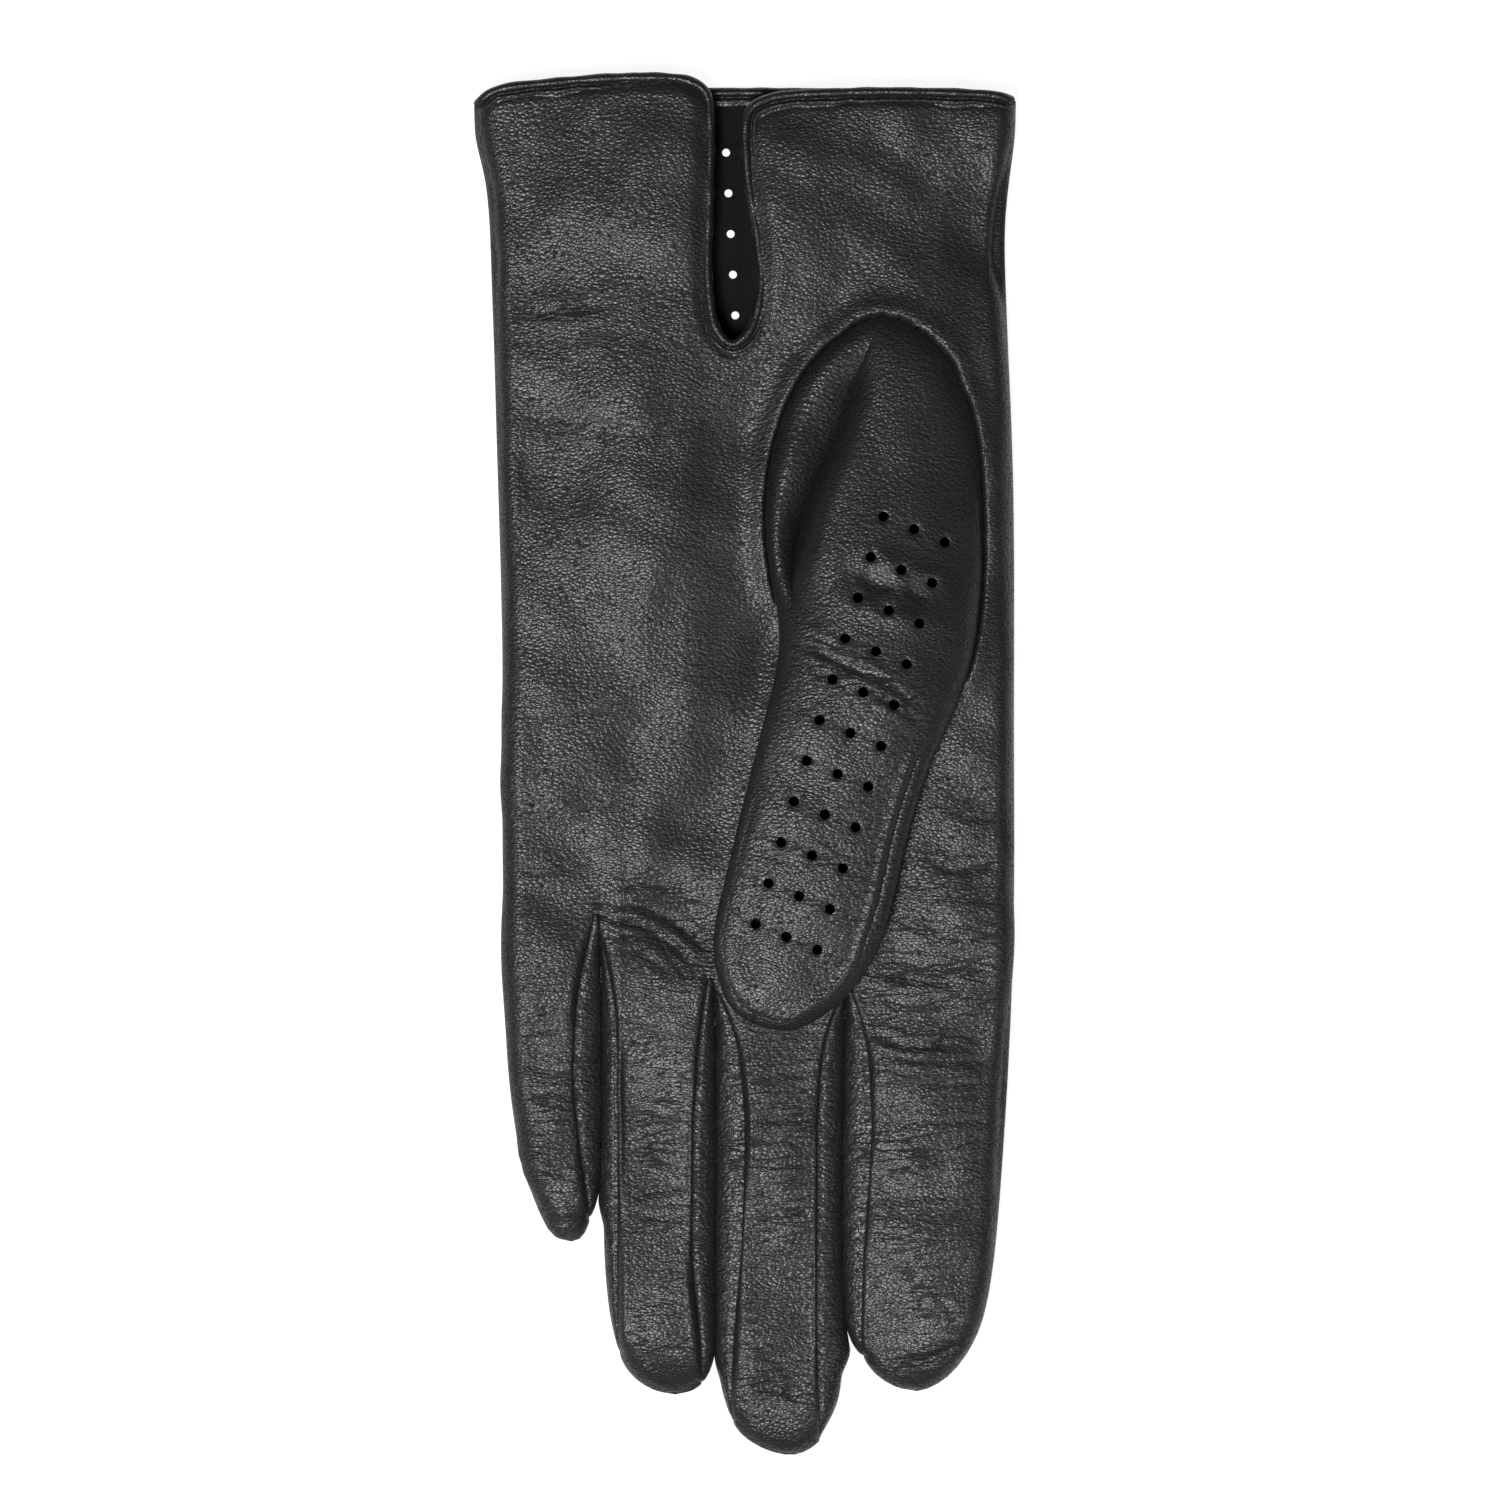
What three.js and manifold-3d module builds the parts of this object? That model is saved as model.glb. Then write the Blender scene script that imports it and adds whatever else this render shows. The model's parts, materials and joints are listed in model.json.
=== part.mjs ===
// A leather driving glove for the left hand, as an assembly of its cut and sewn leather pieces.
// It lies on its back with the palm up, the fingers straight and the thumb folded over the palm.
// Millimetres. +X points to the index side, +Y to the cuff, +Z up out of the palm; the back rests on z = 0.
import * as THREE from "three";
import { mergeVertices } from "three/addons/utils/BufferGeometryUtils.js";
import Module from "manifold-3d";

const wasm = await Module();
wasm.setup();

// ---- Driving dimensions -----------------------------------------------------------------------------

const LEATHER = 1.0; // wall thickness of every leather piece
const GAP = 0.3; // clearance left at each seam between two pieces
const HAND_HEIGHT = 8.0; // outside height of the flattened hand and fingers
const EDGE_ROUND = 2.6; // rounding where the palm side turns over into the back
const MID_HEIGHT = HAND_HEIGHT / 2; // height at which palm side and back side meet
const LIFT = 0.4; // air between the folded thumb and the palm under it
const THUMB_HEIGHT = 8.0; // outside height of the thumb stall
const THUMB_LOW = HAND_HEIGHT + LIFT;
const THUMB_TOP = THUMB_LOW + THUMB_HEIGHT;
const THUMB_ROUND = 2.8; // rounding along the thumb's edges
const CUFF_REACH = 134; // beyond every cuff edge, so that the hand's hollow is open there
const FAR = 300; // larger than the glove, for cutting blocks
const CURVE_STEPS = 3; // straight segments between two points of a curved outline
const ROUND_STEPS = 2; // facets across a rounded edge

const PERFORATION_RADIUS = 0.95;
const PERFORATION_SIDES = 6;
const BINDING_RADIUS = 0.9; // of the rolled leather binding along the cuff edges
const BINDING_SIDES = 6;

// Holes down the back, from the cuff towards the middle finger, and along the thumb from base to tip.
const BACK_HOLES = { first: [-3.4, 110], rowStep: [0.41, -7.32], columnStep: [5.95, 0], rows: 20 };
const THUMB_HOLES = { first: [30.2, 41.9], rowStep: [-2.28, -7.27], columnStep: [5.49, -2.3], rows: 11 };

const COLOURS = { leather: 0x1b1b1a, fourchette: 0x232322, binding: 0x141414 };

// Where each finger bends: the crease at its middle knuckle.
const KNUCKLE_Y = { little: -53, ring: -61, middle: -62, index: -61 };
// Lines in the empty slots between the fingers, from the little side to the index side.
const SLOT_X = [-60, -25.7, -5.4, 18.2, 60];
const FINGERS = ["little", "ring", "middle", "index"];

// ---- Outlines, as lists of points joined by smooth curves -------------------------------------------

const LITTLE_SIDE = [[-48.6, 118], [-46.4, 107], [-45.4, 85], [-44.6, 58], [-43.6, 22], [-43.4, -30]];
const LITTLE_TIP = [
  [-42.7, -53], [-40.8, -68], [-37.6, -79], [-34, -85], [-29.8, -85.4], [-27.4, -80.5], [-26.7, -74],
];
const LITTLE_RING_SLOT = [[-26.6, -60], [-26.6, -38], [-25.8, -34.4], [-24.9, -38], [-24.8, -60]];
const RING_TIP = [
  [-25.4, -84], [-24.4, -98], [-22.4, -107], [-18, -111.6], [-12.5, -113.2], [-8, -111.6], [-6, -107],
];
const RING_MIDDLE_SLOT = [[-6, -92], [-6, -70], [-6.1, -46], [-5.4, -42.6], [-4.6, -46], [-4.4, -70]];
const MIDDLE_TIP = [
  [-4.8, -92], [-4.6, -110], [-2.4, -118.4], [3, -122.8], [9, -124], [13.4, -121.6], [16.6, -115],
  [17.5, -107],
];
const MIDDLE_INDEX_SLOT = [[16.7, -94], [16.3, -70], [16.9, -48], [17.9, -44.2], [18.8, -48], [18.7, -70]];
const INDEX_TIP = [
  [18.8, -100], [20.6, -106], [25, -110.8], [31, -112.6], [36.4, -110], [41.4, -103.4], [44, -94],
];
const INDEX_SIDE = [[46.4, -69], [48.2, -32], [48.3, 6], [48.2, 50], [47, 82], [46.7, 100], [48.6, 118]];

const THUMB_OUTLINE = [
  [25.2, 80.5], [34.5, 75.3], [40.6, 64], [42.8, 44], [41.8, 24], [38.3, 11.2], [32.6, -1.5], [28.8, -14],
  [25, -30], [19.6, -40], [9, -47.6], [-1.6, -44.6], [-5.8, -34], [-2.7, -17], [2.2, 3.2], [6.2, 22],
  [3.7, 40], [4.4, 54], [9, 67.7], [17, 77],
];
// The seam between the quirk and the thumb's back, inside the thumb base.
const QUIRK_SEAM = [[30, 90], [22, 74], [17.6, 61], [12, 48], [8.8, 36], [8.2, 10]];
// The inner edge of the strip along the thumb's outer side.
const THUMB_STRIP_SEAM = [[38, 30], [34.4, 10], [29, -3], [25.5, -16], [22.4, -30], [17, -52]];

// Each pair of seams bounds one gap between fingers: its point at the web, then its two finger seams.
const SEAMS = {
  little_ring: {
    web: [-26.9, -26.1],
    left: [[-30.2, -42], [-30.6, -56], [-29.3, -70], [-27.6, -83], [-27.4, -96]],
    right: [[-23, -44], [-22.9, -70], [-22.9, -100], [-22.9, -125]],
  },
  ring_middle: {
    web: [-6.7, -37.4],
    left: [[-8.6, -52], [-9.2, -76], [-9.2, -90], [-7.9, -103], [-7.4, -125]],
    right: [[-1.2, -50], [-0.7, -84], [-2.2, -104], [-2.6, -125]],
  },
  middle_index: {
    web: [18.6, -38.5],
    left: [[14, -50], [13.2, -74], [13.1, -104], [13.8, -130]],
    right: [[21.9, -50], [22.5, -66], [21, -90], [20.9, -125]],
  },
};

// The vent in the palm side of the cuff, and the two lobes of the cuff edge beside it.
const LEFT_LOBE = [[-48, 118.4], [-45, 120.6], [-34, 122.2], [-20, 123.1], [-10.5, 122.6], [-7, 120.4]];
const VENT = [
  [-6.2, 115], [-6.4, 100], [-6.5, 86], [-5, 77.8], [-2.3, 75.3], [0.8, 77.8], [2.9, 86], [2.2, 94],
  [0.2, 108],
];
const RIGHT_LOBE = [[0.6, 116.8], [4, 119.2], [18, 120.4], [34, 120.4], [45, 119.8], [48, 119]];
const PALM_EDGE = [...LEFT_LOBE, ...VENT, ...RIGHT_LOBE];
const BACK_EDGE = [[-48, 118.2], [-44, 119.6], [-20, 120.6], [10, 120.8], [42, 120], [48, 118.8]];

// The thumb's crease: the line that the thumb stall folds about.
const THUMB_HINGE = { x: 22.2, y: 16.5, angle: Math.atan2(-0.39, 0.92) };

// ---- Making solids ----------------------------------------------------------------------------------

function solidOf(geometry) {
  geometry.deleteAttribute("normal");
  geometry.deleteAttribute("uv");
  const merged = mergeVertices(geometry, 1e-4);
  const vertProperties = new Float32Array(merged.attributes.position.array);
  const triVerts = new Uint32Array(merged.index.array);
  return new wasm.Manifold(new wasm.Mesh({ numProp: 3, vertProperties, triVerts }));
}

// A smooth flat curve through the given points, as short straight segments.
function curvePoints(points, closed = false) {
  const route = points.map(([x, y]) => new THREE.Vector3(x, y, 0));
  const curve = new THREE.CatmullRomCurve3(route, closed, "centripetal");
  const spans = closed ? points.length : points.length - 1;
  const found = curve.getPoints(spans * CURVE_STEPS).map((p) => new THREE.Vector2(p.x, p.y));
  return closed ? found.slice(0, -1) : found;
}

function closedOutline(points) {
  return new THREE.Shape(curvePoints(points, true));
}

function handOutline() {
  const runs = [
    LITTLE_SIDE, LITTLE_TIP, LITTLE_RING_SLOT, RING_TIP, RING_MIDDLE_SLOT, MIDDLE_TIP,
    MIDDLE_INDEX_SLOT, INDEX_TIP, INDEX_SIDE,
  ];
  const outline = curvePoints(runs.flat());
  outline.push(new THREE.Vector2(outline.at(-1).x, CUFF_REACH));
  outline.push(new THREE.Vector2(outline[0].x, CUFF_REACH));
  return new THREE.Shape(outline);
}

// A plate with rounded edges between two heights. It is drawn in by inset all round.
function roundedPlate(shape, low, high, round, inset) {
  const geometry = new THREE.ExtrudeGeometry(shape, {
    depth: high - low - 2 * round,
    bevelEnabled: true,
    bevelThickness: round,
    bevelSize: round,
    bevelOffset: -round - inset,
    bevelSegments: ROUND_STEPS,
    curveSegments: CURVE_STEPS,
  });
  geometry.translate(0, 0, low + round);
  return geometry;
}

// The part of space over a flat outline, between two heights.
function prism(shape, low, high) {
  const geometry = new THREE.ExtrudeGeometry(shape, { depth: high - low, bevelEnabled: false });
  geometry.translate(0, 0, low);
  return solidOf(geometry);
}

function block(x0, x1, y0, y1, z0, z1) {
  const geometry = new THREE.BoxGeometry(x1 - x0, y1 - y0, z1 - z0);
  geometry.translate((x0 + x1) / 2, (y0 + y1) / 2, (z0 + z1) / 2);
  return solidOf(geometry);
}

function leatherShell(shape, low, high, round) {
  const outside = solidOf(roundedPlate(shape, low, high, round, 0));
  const inside = solidOf(
    roundedPlate(shape, low + LEATHER, high - LEATHER, round - LEATHER, LEATHER),
  );
  return outside.subtract(inside);
}

// ---- The hand and its fingers -----------------------------------------------------------------------

// The gap between two fingers' seams, from the web down past the tips, widened on each side by grow.
function seamZone(seam, grow) {
  const moved = (points, by) => points.slice(1).map((p) => new THREE.Vector2(p.x + by, p.y));
  const web = new THREE.Vector2(seam.web[0], seam.web[1] + 3 * grow);
  const left = moved(curvePoints([seam.web, ...seam.left]), -grow);
  const right = moved(curvePoints([seam.web, ...seam.right]), grow);
  return prism(new THREE.Shape([web, ...left, ...right.reverse()]), -FAR, FAR);
}

function fingerBlock(finger, grow) {
  const place = FINGERS.indexOf(finger);
  const [x0, x1] = [SLOT_X[place], SLOT_X[place + 1]];
  return block(x0, x1, -FAR, KNUCKLE_Y[finger] + grow, -FAR, FAR);
}

// Everything on the fingers' side of a cuff edge.
function cuffRegion(edgePoints) {
  const edge = curvePoints(edgePoints);
  const ends = [new THREE.Vector2(FAR, edge.at(-1).y), new THREE.Vector2(FAR, -FAR)];
  const starts = [new THREE.Vector2(-FAR, -FAR), new THREE.Vector2(-FAR, edge[0].y)];
  return prism(new THREE.Shape([...edge, ...ends, ...starts]), -FAR, FAR);
}

// The path of a rolled binding along a cuff edge, at the given height; both ends turn to the side fold.
function bindingPath(points, height) {
  const route = points.map(([x, y]) => new THREE.Vector3(x, y, height));
  const side = Math.sign(height - MID_HEIGHT);
  const foldHeight = MID_HEIGHT + side * (BINDING_RADIUS + GAP / 2);
  route[0].setZ(foldHeight);
  route.at(-1).setZ(foldHeight);
  return new THREE.CatmullRomCurve3(route, false, "centripetal");
}

function bindingSolid(path, radius, steps) {
  const section = new THREE.Shape();
  section.absarc(0, 0, radius, 0, 2 * Math.PI, false);
  const geometry = new THREE.ExtrudeGeometry(section, {
    steps, bevelEnabled: false, extrudePath: path, curveSegments: BINDING_SIDES / 2,
  });
  return solidOf(geometry);
}

function perforations(centres, low, high) {
  const holes = centres.map(([x, y]) => {
    const hole = new THREE.CylinderGeometry(
      PERFORATION_RADIUS, PERFORATION_RADIUS, high - low, PERFORATION_SIDES,
    );
    hole.rotateX(Math.PI / 2);
    hole.translate(x, y, (low + high) / 2);
    return solidOf(hole);
  });
  return holes.reduce((all, hole) => all.add(hole));
}

// Three columns of holes: the middle column starts at first, and each row and column is one step on.
function holeCentres({ first, rowStep, columnStep, rows }) {
  const centres = [];
  for (let row = 0; row < rows; row += 1) {
    for (const column of [-1, 0, 1]) {
      const x = first[0] + row * rowStep[0] + column * columnStep[0];
      const y = first[1] + row * rowStep[1] + column * columnStep[1];
      centres.push([x, y]);
    }
  }
  return centres;
}

// ---- The thumb --------------------------------------------------------------------------------------

// The half of space on one side of the thumb's crease: towards the cuff (+1) or the thumb's tip (-1).
function creaseSide(side) {
  const geometry = new THREE.BoxGeometry(FAR, FAR, FAR);
  geometry.translate(0, side * (FAR / 2 + GAP / 2), 0);
  geometry.rotateZ(THUMB_HINGE.angle);
  geometry.translate(THUMB_HINGE.x, THUMB_HINGE.y, 0);
  return solidOf(geometry);
}

// Lowers the thumb base from its full height at the crease to a low arch at the wrist end of its opening.
function slopeToWrist(geometry) {
  const wristDistance = 60;
  const wristShare = 0.34;
  const position = geometry.attributes.position;
  for (let i = 0; i < position.count; i += 1) {
    const across = position.getX(i) - THUMB_HINGE.x;
    const along = position.getY(i) - THUMB_HINGE.y;
    const distance = along * Math.cos(THUMB_HINGE.angle) - across * Math.sin(THUMB_HINGE.angle);
    const share = 1 - (1 - wristShare) * (distance / wristDistance);
    position.setZ(i, HAND_HEIGHT + (position.getZ(i) - HAND_HEIGHT) * share);
  }
  return geometry;
}

function thumbBaseShell() {
  const shape = closedOutline(THUMB_OUTLINE);
  const below = HAND_HEIGHT - THUMB_HEIGHT;
  const innerTop = THUMB_TOP - LEATHER;
  const innerRound = THUMB_ROUND - LEATHER;
  const outside = solidOf(slopeToWrist(roundedPlate(shape, below, THUMB_TOP, THUMB_ROUND, 0)));
  const inside = solidOf(
    slopeToWrist(roundedPlate(shape, below - LEATHER, innerTop, innerRound, LEATHER)),
  );
  const abovePalm = block(-FAR, FAR, -FAR, FAR, HAND_HEIGHT + GAP, FAR);
  return outside.subtract(inside).intersect(abovePalm).intersect(creaseSide(1));
}

function thumbOpening() {
  const shape = closedOutline(THUMB_OUTLINE);
  const inside = solidOf(roundedPlate(shape, -FAR, FAR, LEATHER, LEATHER));
  return inside.intersect(creaseSide(1));
}

function sideZone(seam, reach, grow) {
  const edge = curvePoints(seam).map((p) => new THREE.Vector2(p.x - Math.sign(reach) * grow, p.y));
  edge.push(new THREE.Vector2(reach, edge.at(-1).y), new THREE.Vector2(reach, edge[0].y));
  return prism(new THREE.Shape(edge), -FAR, FAR);
}

// ---- Assembly ---------------------------------------------------------------------------------------

const glove = new THREE.Group();

function addPiece(name, solid, look) {
  const mesh = solid.getMesh();
  const geometry = new THREE.BufferGeometry();
  geometry.setAttribute("position", new THREE.BufferAttribute(new Float32Array(mesh.vertProperties), 3));
  geometry.setIndex(new THREE.BufferAttribute(new Uint32Array(mesh.triVerts), 1));
  geometry.computeVertexNormals();
  const material = new THREE.MeshStandardMaterial({ color: COLOURS[look], roughness: 0.55, metalness: 0 });
  const piece = new THREE.Mesh(geometry, material);
  piece.name = name;
  glove.add(piece);
}

const upper = block(-FAR, FAR, -FAR, FAR, MID_HEIGHT + GAP / 2, FAR);
const lower = block(-FAR, FAR, -FAR, FAR, -FAR, MID_HEIGHT - GAP / 2);
const handShell = leatherShell(handOutline(), 0, HAND_HEIGHT, EDGE_ROUND);
const seamGaps = Object.values(SEAMS)
  .map((seam) => seamZone(seam, GAP / 2))
  .reduce((all, zone) => all.add(zone));

function addHandPanels() {
  const distal = FINGERS.map((finger) => fingerBlock(finger, GAP)).reduce((all, part) => all.add(part));
  const hand = handShell.subtract(distal);
  const bindingHeight = HAND_HEIGHT - LEATHER / 2;
  const palmPath = bindingPath(PALM_EDGE, bindingHeight);
  const backPath = bindingPath(BACK_EDGE, BINDING_RADIUS + GAP);
  const palmSteps = 72;
  const backSteps = 18;
  const clearance = BINDING_RADIUS + GAP;
  const palm = hand.intersect(upper).subtract(seamGaps).intersect(cuffRegion(PALM_EDGE));
  const back = hand.intersect(lower).subtract(seamGaps).intersect(cuffRegion(BACK_EDGE));
  const holes = perforations(holeCentres(BACK_HOLES), -LEATHER, 2 * LEATHER);
  const palmCut = palm.subtract(thumbOpening()).subtract(bindingSolid(palmPath, clearance, palmSteps));
  addPiece("palm_panel", palmCut, "leather");
  const backUnbound = back.subtract(bindingSolid(backPath, clearance, backSteps));
  addPiece("back_panel", backUnbound.subtract(holes), "leather");
  addPiece("cuff_binding_palm", bindingSolid(palmPath, BINDING_RADIUS, palmSteps), "binding");
  addPiece("cuff_binding_back", bindingSolid(backPath, BINDING_RADIUS, backSteps), "binding");
  for (const [name, seam] of Object.entries(SEAMS)) {
    addPiece(`web_${name}`, hand.intersect(seamZone(seam, -GAP / 2)), "fourchette");
  }
}

function addFinger(finger) {
  const stall = handShell.intersect(fingerBlock(finger, 0));
  addPiece(`${finger}_front`, stall.intersect(upper).subtract(seamGaps), "leather");
  addPiece(`${finger}_back`, stall.intersect(lower).subtract(seamGaps), "leather");
  for (const [name, seam] of Object.entries(SEAMS)) {
    const neighbours = name.split("_");
    if (!neighbours.includes(finger)) continue;
    const other = neighbours.find((neighbour) => neighbour !== finger);
    const strip = stall.intersect(seamZone(seam, -GAP / 2));
    addPiece(`${finger}_fourchette_${other}_side`, strip, "fourchette");
  }
}

function addThumb() {
  const base = thumbBaseShell();
  const stall = leatherShell(closedOutline(THUMB_OUTLINE), THUMB_LOW, THUMB_TOP, THUMB_ROUND)
    .intersect(creaseSide(-1));
  const middle = (THUMB_LOW + THUMB_TOP) / 2;
  const top = block(-FAR, FAR, -FAR, FAR, middle + GAP / 2, FAR);
  const under = block(-FAR, FAR, -FAR, FAR, -FAR, middle - GAP / 2);
  const holes = perforations(holeCentres(THUMB_HOLES), HAND_HEIGHT + 3 * LEATHER, THUMB_TOP + LEATHER);
  addPiece("thumb_base", base.subtract(sideZone(QUIRK_SEAM, -FAR, GAP / 2)).subtract(holes), "leather");
  addPiece("thumb_quirk", base.intersect(sideZone(QUIRK_SEAM, -FAR, -GAP / 2)), "leather");
  const strip = sideZone(THUMB_STRIP_SEAM, FAR, GAP / 2);
  addPiece("thumb_back", stall.intersect(top).subtract(strip).subtract(holes), "leather");
  addPiece("thumb_front", stall.intersect(under).subtract(strip), "leather");
  addPiece("thumb_side_strip", stall.intersect(sideZone(THUMB_STRIP_SEAM, FAR, -GAP / 2)), "fourchette");
}

addHandPanels();
FINGERS.forEach(addFinger);
addThumb();

export default glove;
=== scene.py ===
"""A black leather driving glove for the left hand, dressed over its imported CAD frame.

Lengths are in millimetres until a mesh is made, when MM turns them into metres. +X points to the index
side, +Y to the cuff and +Z up out of the palm; the back of the glove lies on z = 0.
"""

import json
import math

import bpy
import numpy as np
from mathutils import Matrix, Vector
from mathutils.geometry import delaunay_2d_cdt


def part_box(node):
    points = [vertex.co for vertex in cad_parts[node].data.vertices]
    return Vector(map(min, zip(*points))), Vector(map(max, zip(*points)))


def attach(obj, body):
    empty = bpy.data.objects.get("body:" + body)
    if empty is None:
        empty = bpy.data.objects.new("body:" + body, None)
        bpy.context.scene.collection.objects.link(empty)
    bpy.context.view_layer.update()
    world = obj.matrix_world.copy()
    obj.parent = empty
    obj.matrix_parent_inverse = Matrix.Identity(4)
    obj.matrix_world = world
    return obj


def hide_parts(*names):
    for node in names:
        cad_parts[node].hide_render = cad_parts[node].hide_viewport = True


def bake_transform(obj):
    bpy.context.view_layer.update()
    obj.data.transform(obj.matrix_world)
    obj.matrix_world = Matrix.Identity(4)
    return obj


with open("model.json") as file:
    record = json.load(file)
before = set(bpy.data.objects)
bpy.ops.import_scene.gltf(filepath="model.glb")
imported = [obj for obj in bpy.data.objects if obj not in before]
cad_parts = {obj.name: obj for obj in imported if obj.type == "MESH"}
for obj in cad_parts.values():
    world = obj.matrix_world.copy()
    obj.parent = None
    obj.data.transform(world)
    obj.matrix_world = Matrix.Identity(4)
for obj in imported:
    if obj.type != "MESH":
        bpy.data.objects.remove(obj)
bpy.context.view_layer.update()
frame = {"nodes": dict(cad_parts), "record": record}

MM = 0.001
STEP = 0.5  # spacing of the vertices of a panel
FAR = 50.0  # stands for a distance too large to matter
LEATHER = 0.7  # thickness of the leather

# ---- Driving dimensions, most of them read from the frame ----

FINGERS = ["little", "ring", "middle", "index"]
WEBS = [("little", "ring"), ("ring", "middle"), ("middle", "index")]


def low(node):
    return np.array(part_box(node)[0]) / MM


def high(node):
    return np.array(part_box(node)[1]) / MM


JOINTS = {joint["name"]: joint for joint in frame["record"]["behaviour"]["joints"]}
HAND_TOP = high("palm_panel")[2]
HAND_MID = HAND_TOP / 2
KNUCKLE = {name: JOINTS[name + "_curl"]["pos_m"][1] / MM for name in FINGERS}
SPLIT_REACH = 10.0  # where a finger's pieces start, on the palm side of its knuckle line

SEAM_ROLL = 1.0  # how far a strip's edge rolls down into its seam
SEAM_ROLL_WIDTH = 1.5
FOLD_RADIUS = 3.6  # rounding of the folded sides of the glove
TIP_LENGTH = 9.0  # length over which a fingertip closes
TIP_SINK = 0.45  # the middle of a finger's front is this much lower by the time its tip closes
RELIEF_SETTLE = 0.15  # lowers the relief of the palm side, so that it stays within the frame

THUMB_ORIGIN = np.array(JOINTS["thumb_lift"]["pos_m"][:2]) / MM
THUMB_ACROSS = -np.array(JOINTS["thumb_lift"]["axis"][:2])
THUMB_ALONG = np.array([-THUMB_ACROSS[1], THUMB_ACROSS[0]])
THUMB_LOW = low("thumb_front")[2]
THUMB_TOP = high("thumb_back")[2]
THUMB_MID = (THUMB_LOW + THUMB_TOP) / 2
THUMB_NODES = ["thumb_base", "thumb_quirk", "thumb_back", "thumb_front", "thumb_side_strip"]

THUMB_HOLE_RADIUS = 0.92
BACK_HOLE_RADIUS = 0.7  # the leather has closed round these a little
COLLAR = 0.35  # a ring of vertices this far round each hole keeps its rim smooth
HOLE_SIDES = 20
STITCH_PITCH = 1.9
STITCH_RADIUS = 0.17
STITCH_ROW = -1.66  # offset of the stitches from the cuff's edge
STITCH_HEIGHT = {1: 0.62, -1: -1.1}  # over the outer face of the leather, on the outside and the inside


# ---- Small helpers ----

def smoothstep(t):
    t = np.clip(t, 0.0, 1.0)
    return t * t * (3 - 2 * t)


def mix(a, b, t):
    return a + (b - a) * t


def quarter(d):
    """Height of a quarter circle of radius 1 at distance d from its edge."""
    return np.sqrt(np.clip(1 - (1 - np.clip(d, 0, 1)) ** 2, 0, 1))


def bell(distance, width):
    """A smooth bump of height 1 that falls to about a third at the given width."""
    return np.exp(-(distance / width) ** 2)


def nearest(points, targets):
    """The distance from each flat point to the closest target, and the place of that target in its list."""
    distance = np.empty(len(points))
    place = np.empty(len(points), int)
    for part in np.array_split(np.arange(len(points)), 1 + len(points) // 500):
        squared = ((points[part][:, None, :] - targets[None]) ** 2).sum(2)
        distance[part] = np.sqrt(squared.min(1))
        place[part] = squared.argmin(1)
    return distance, place


def without_repeats(loop, spacing):
    """A closed loop without the points closer than the spacing to the point before them or to the first."""
    kept = [loop[0]]
    for point in loop[1:]:
        if min(np.linalg.norm(point[:2] - other[:2]) for other in (kept[-1], kept[0])) > spacing:
            kept.append(point)
    return np.array(kept)


def smooth_route(points, spacing):
    """Evenly spaced points on a centripetal Catmull-Rom curve through the given points."""
    p = np.array(points, float)
    p = np.vstack([2 * p[0] - p[1], p, 2 * p[-1] - p[-2]])
    found = []
    for i in range(1, len(p) - 2):
        knots = [0.0]
        for a, b in ((i - 1, i), (i, i + 1), (i + 1, i + 2)):
            knots.append(knots[-1] + max(np.linalg.norm(p[b] - p[a]), 1e-6) ** 0.5)
        t = np.linspace(knots[1], knots[2], 24, endpoint=False)[:, None]

        def between(a, b, k0, k1):
            return (k1 - t) / (k1 - k0) * a + (t - k0) / (k1 - k0) * b

        a1 = between(p[i - 1], p[i], knots[0], knots[1])
        a2 = between(p[i], p[i + 1], knots[1], knots[2])
        a3 = between(p[i + 1], p[i + 2], knots[2], knots[3])
        b1 = between(a1, a2, knots[0], knots[2])
        b2 = between(a2, a3, knots[1], knots[3])
        found.append(between(b1, b2, knots[1], knots[2]))
    found.append(p[-2:-1])
    dense = np.vstack(found)
    length = np.concatenate([[0], np.cumsum(np.linalg.norm(np.diff(dense, axis=0), axis=1))])
    stations = np.linspace(0, length[-1], max(2, int(length[-1] / spacing)))
    return np.column_stack([np.interp(stations, length, dense[:, k]) for k in range(dense.shape[1])])


class Slicer:
    """Cuts some CAD nodes across with straight lines and says where the cuts start and end."""

    def __init__(self, nodes, origin=(0.0, 0.0), along=(0.0, 1.0)):
        across = np.array([along[1], -along[0]])
        self.u, self.v = [], []
        for node in nodes:
            mesh = frame["nodes"][node].data
            co = np.array([v.co[:2] for v in mesh.vertices]) / MM - np.array(origin)
            pairs = np.array([edge.vertices[:] for edge in mesh.edges])
            self.u.append((co @ across)[pairs])
            self.v.append((co @ np.array(along))[pairs])
        self.u = np.vstack(self.u)
        self.v = np.vstack(self.v)

    def crossings(self, v):
        hit = (self.v[:, 0] - v) * (self.v[:, 1] - v) < 0
        a, b = self.v[hit].T
        share = (v - a) / (b - a)
        return self.u[hit, 0] + share * (self.u[hit, 1] - self.u[hit, 0])

    def edge(self, stations, pick):
        """The picked end (min or max) of the cut at each station, carried over the gaps between nodes."""
        cuts = [(v, self.crossings(v)) for v in stations]
        known = np.array([(v, pick(u)) for v, u in cuts if len(u)])
        return np.interp(stations, known[:, 0], known[:, 1])


def smoothed(values, stations, sigma, ends=()):
    """Values smoothed along their stations, but left alone close to the given ends."""
    distance = (stations[:, None] - stations[None, :]) / sigma
    weights = np.exp(-0.5 * distance ** 2)
    weights /= weights.sum(axis=1, keepdims=True)
    keep = np.zeros(len(stations))
    for end in ends:
        keep = np.maximum(keep, 1 - smoothstep((np.abs(stations - end) - sigma) / (4 * sigma)))
    return mix(weights @ values, values, keep)


# ---- Relief: soft undulation and creases of worn leather ----

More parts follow.
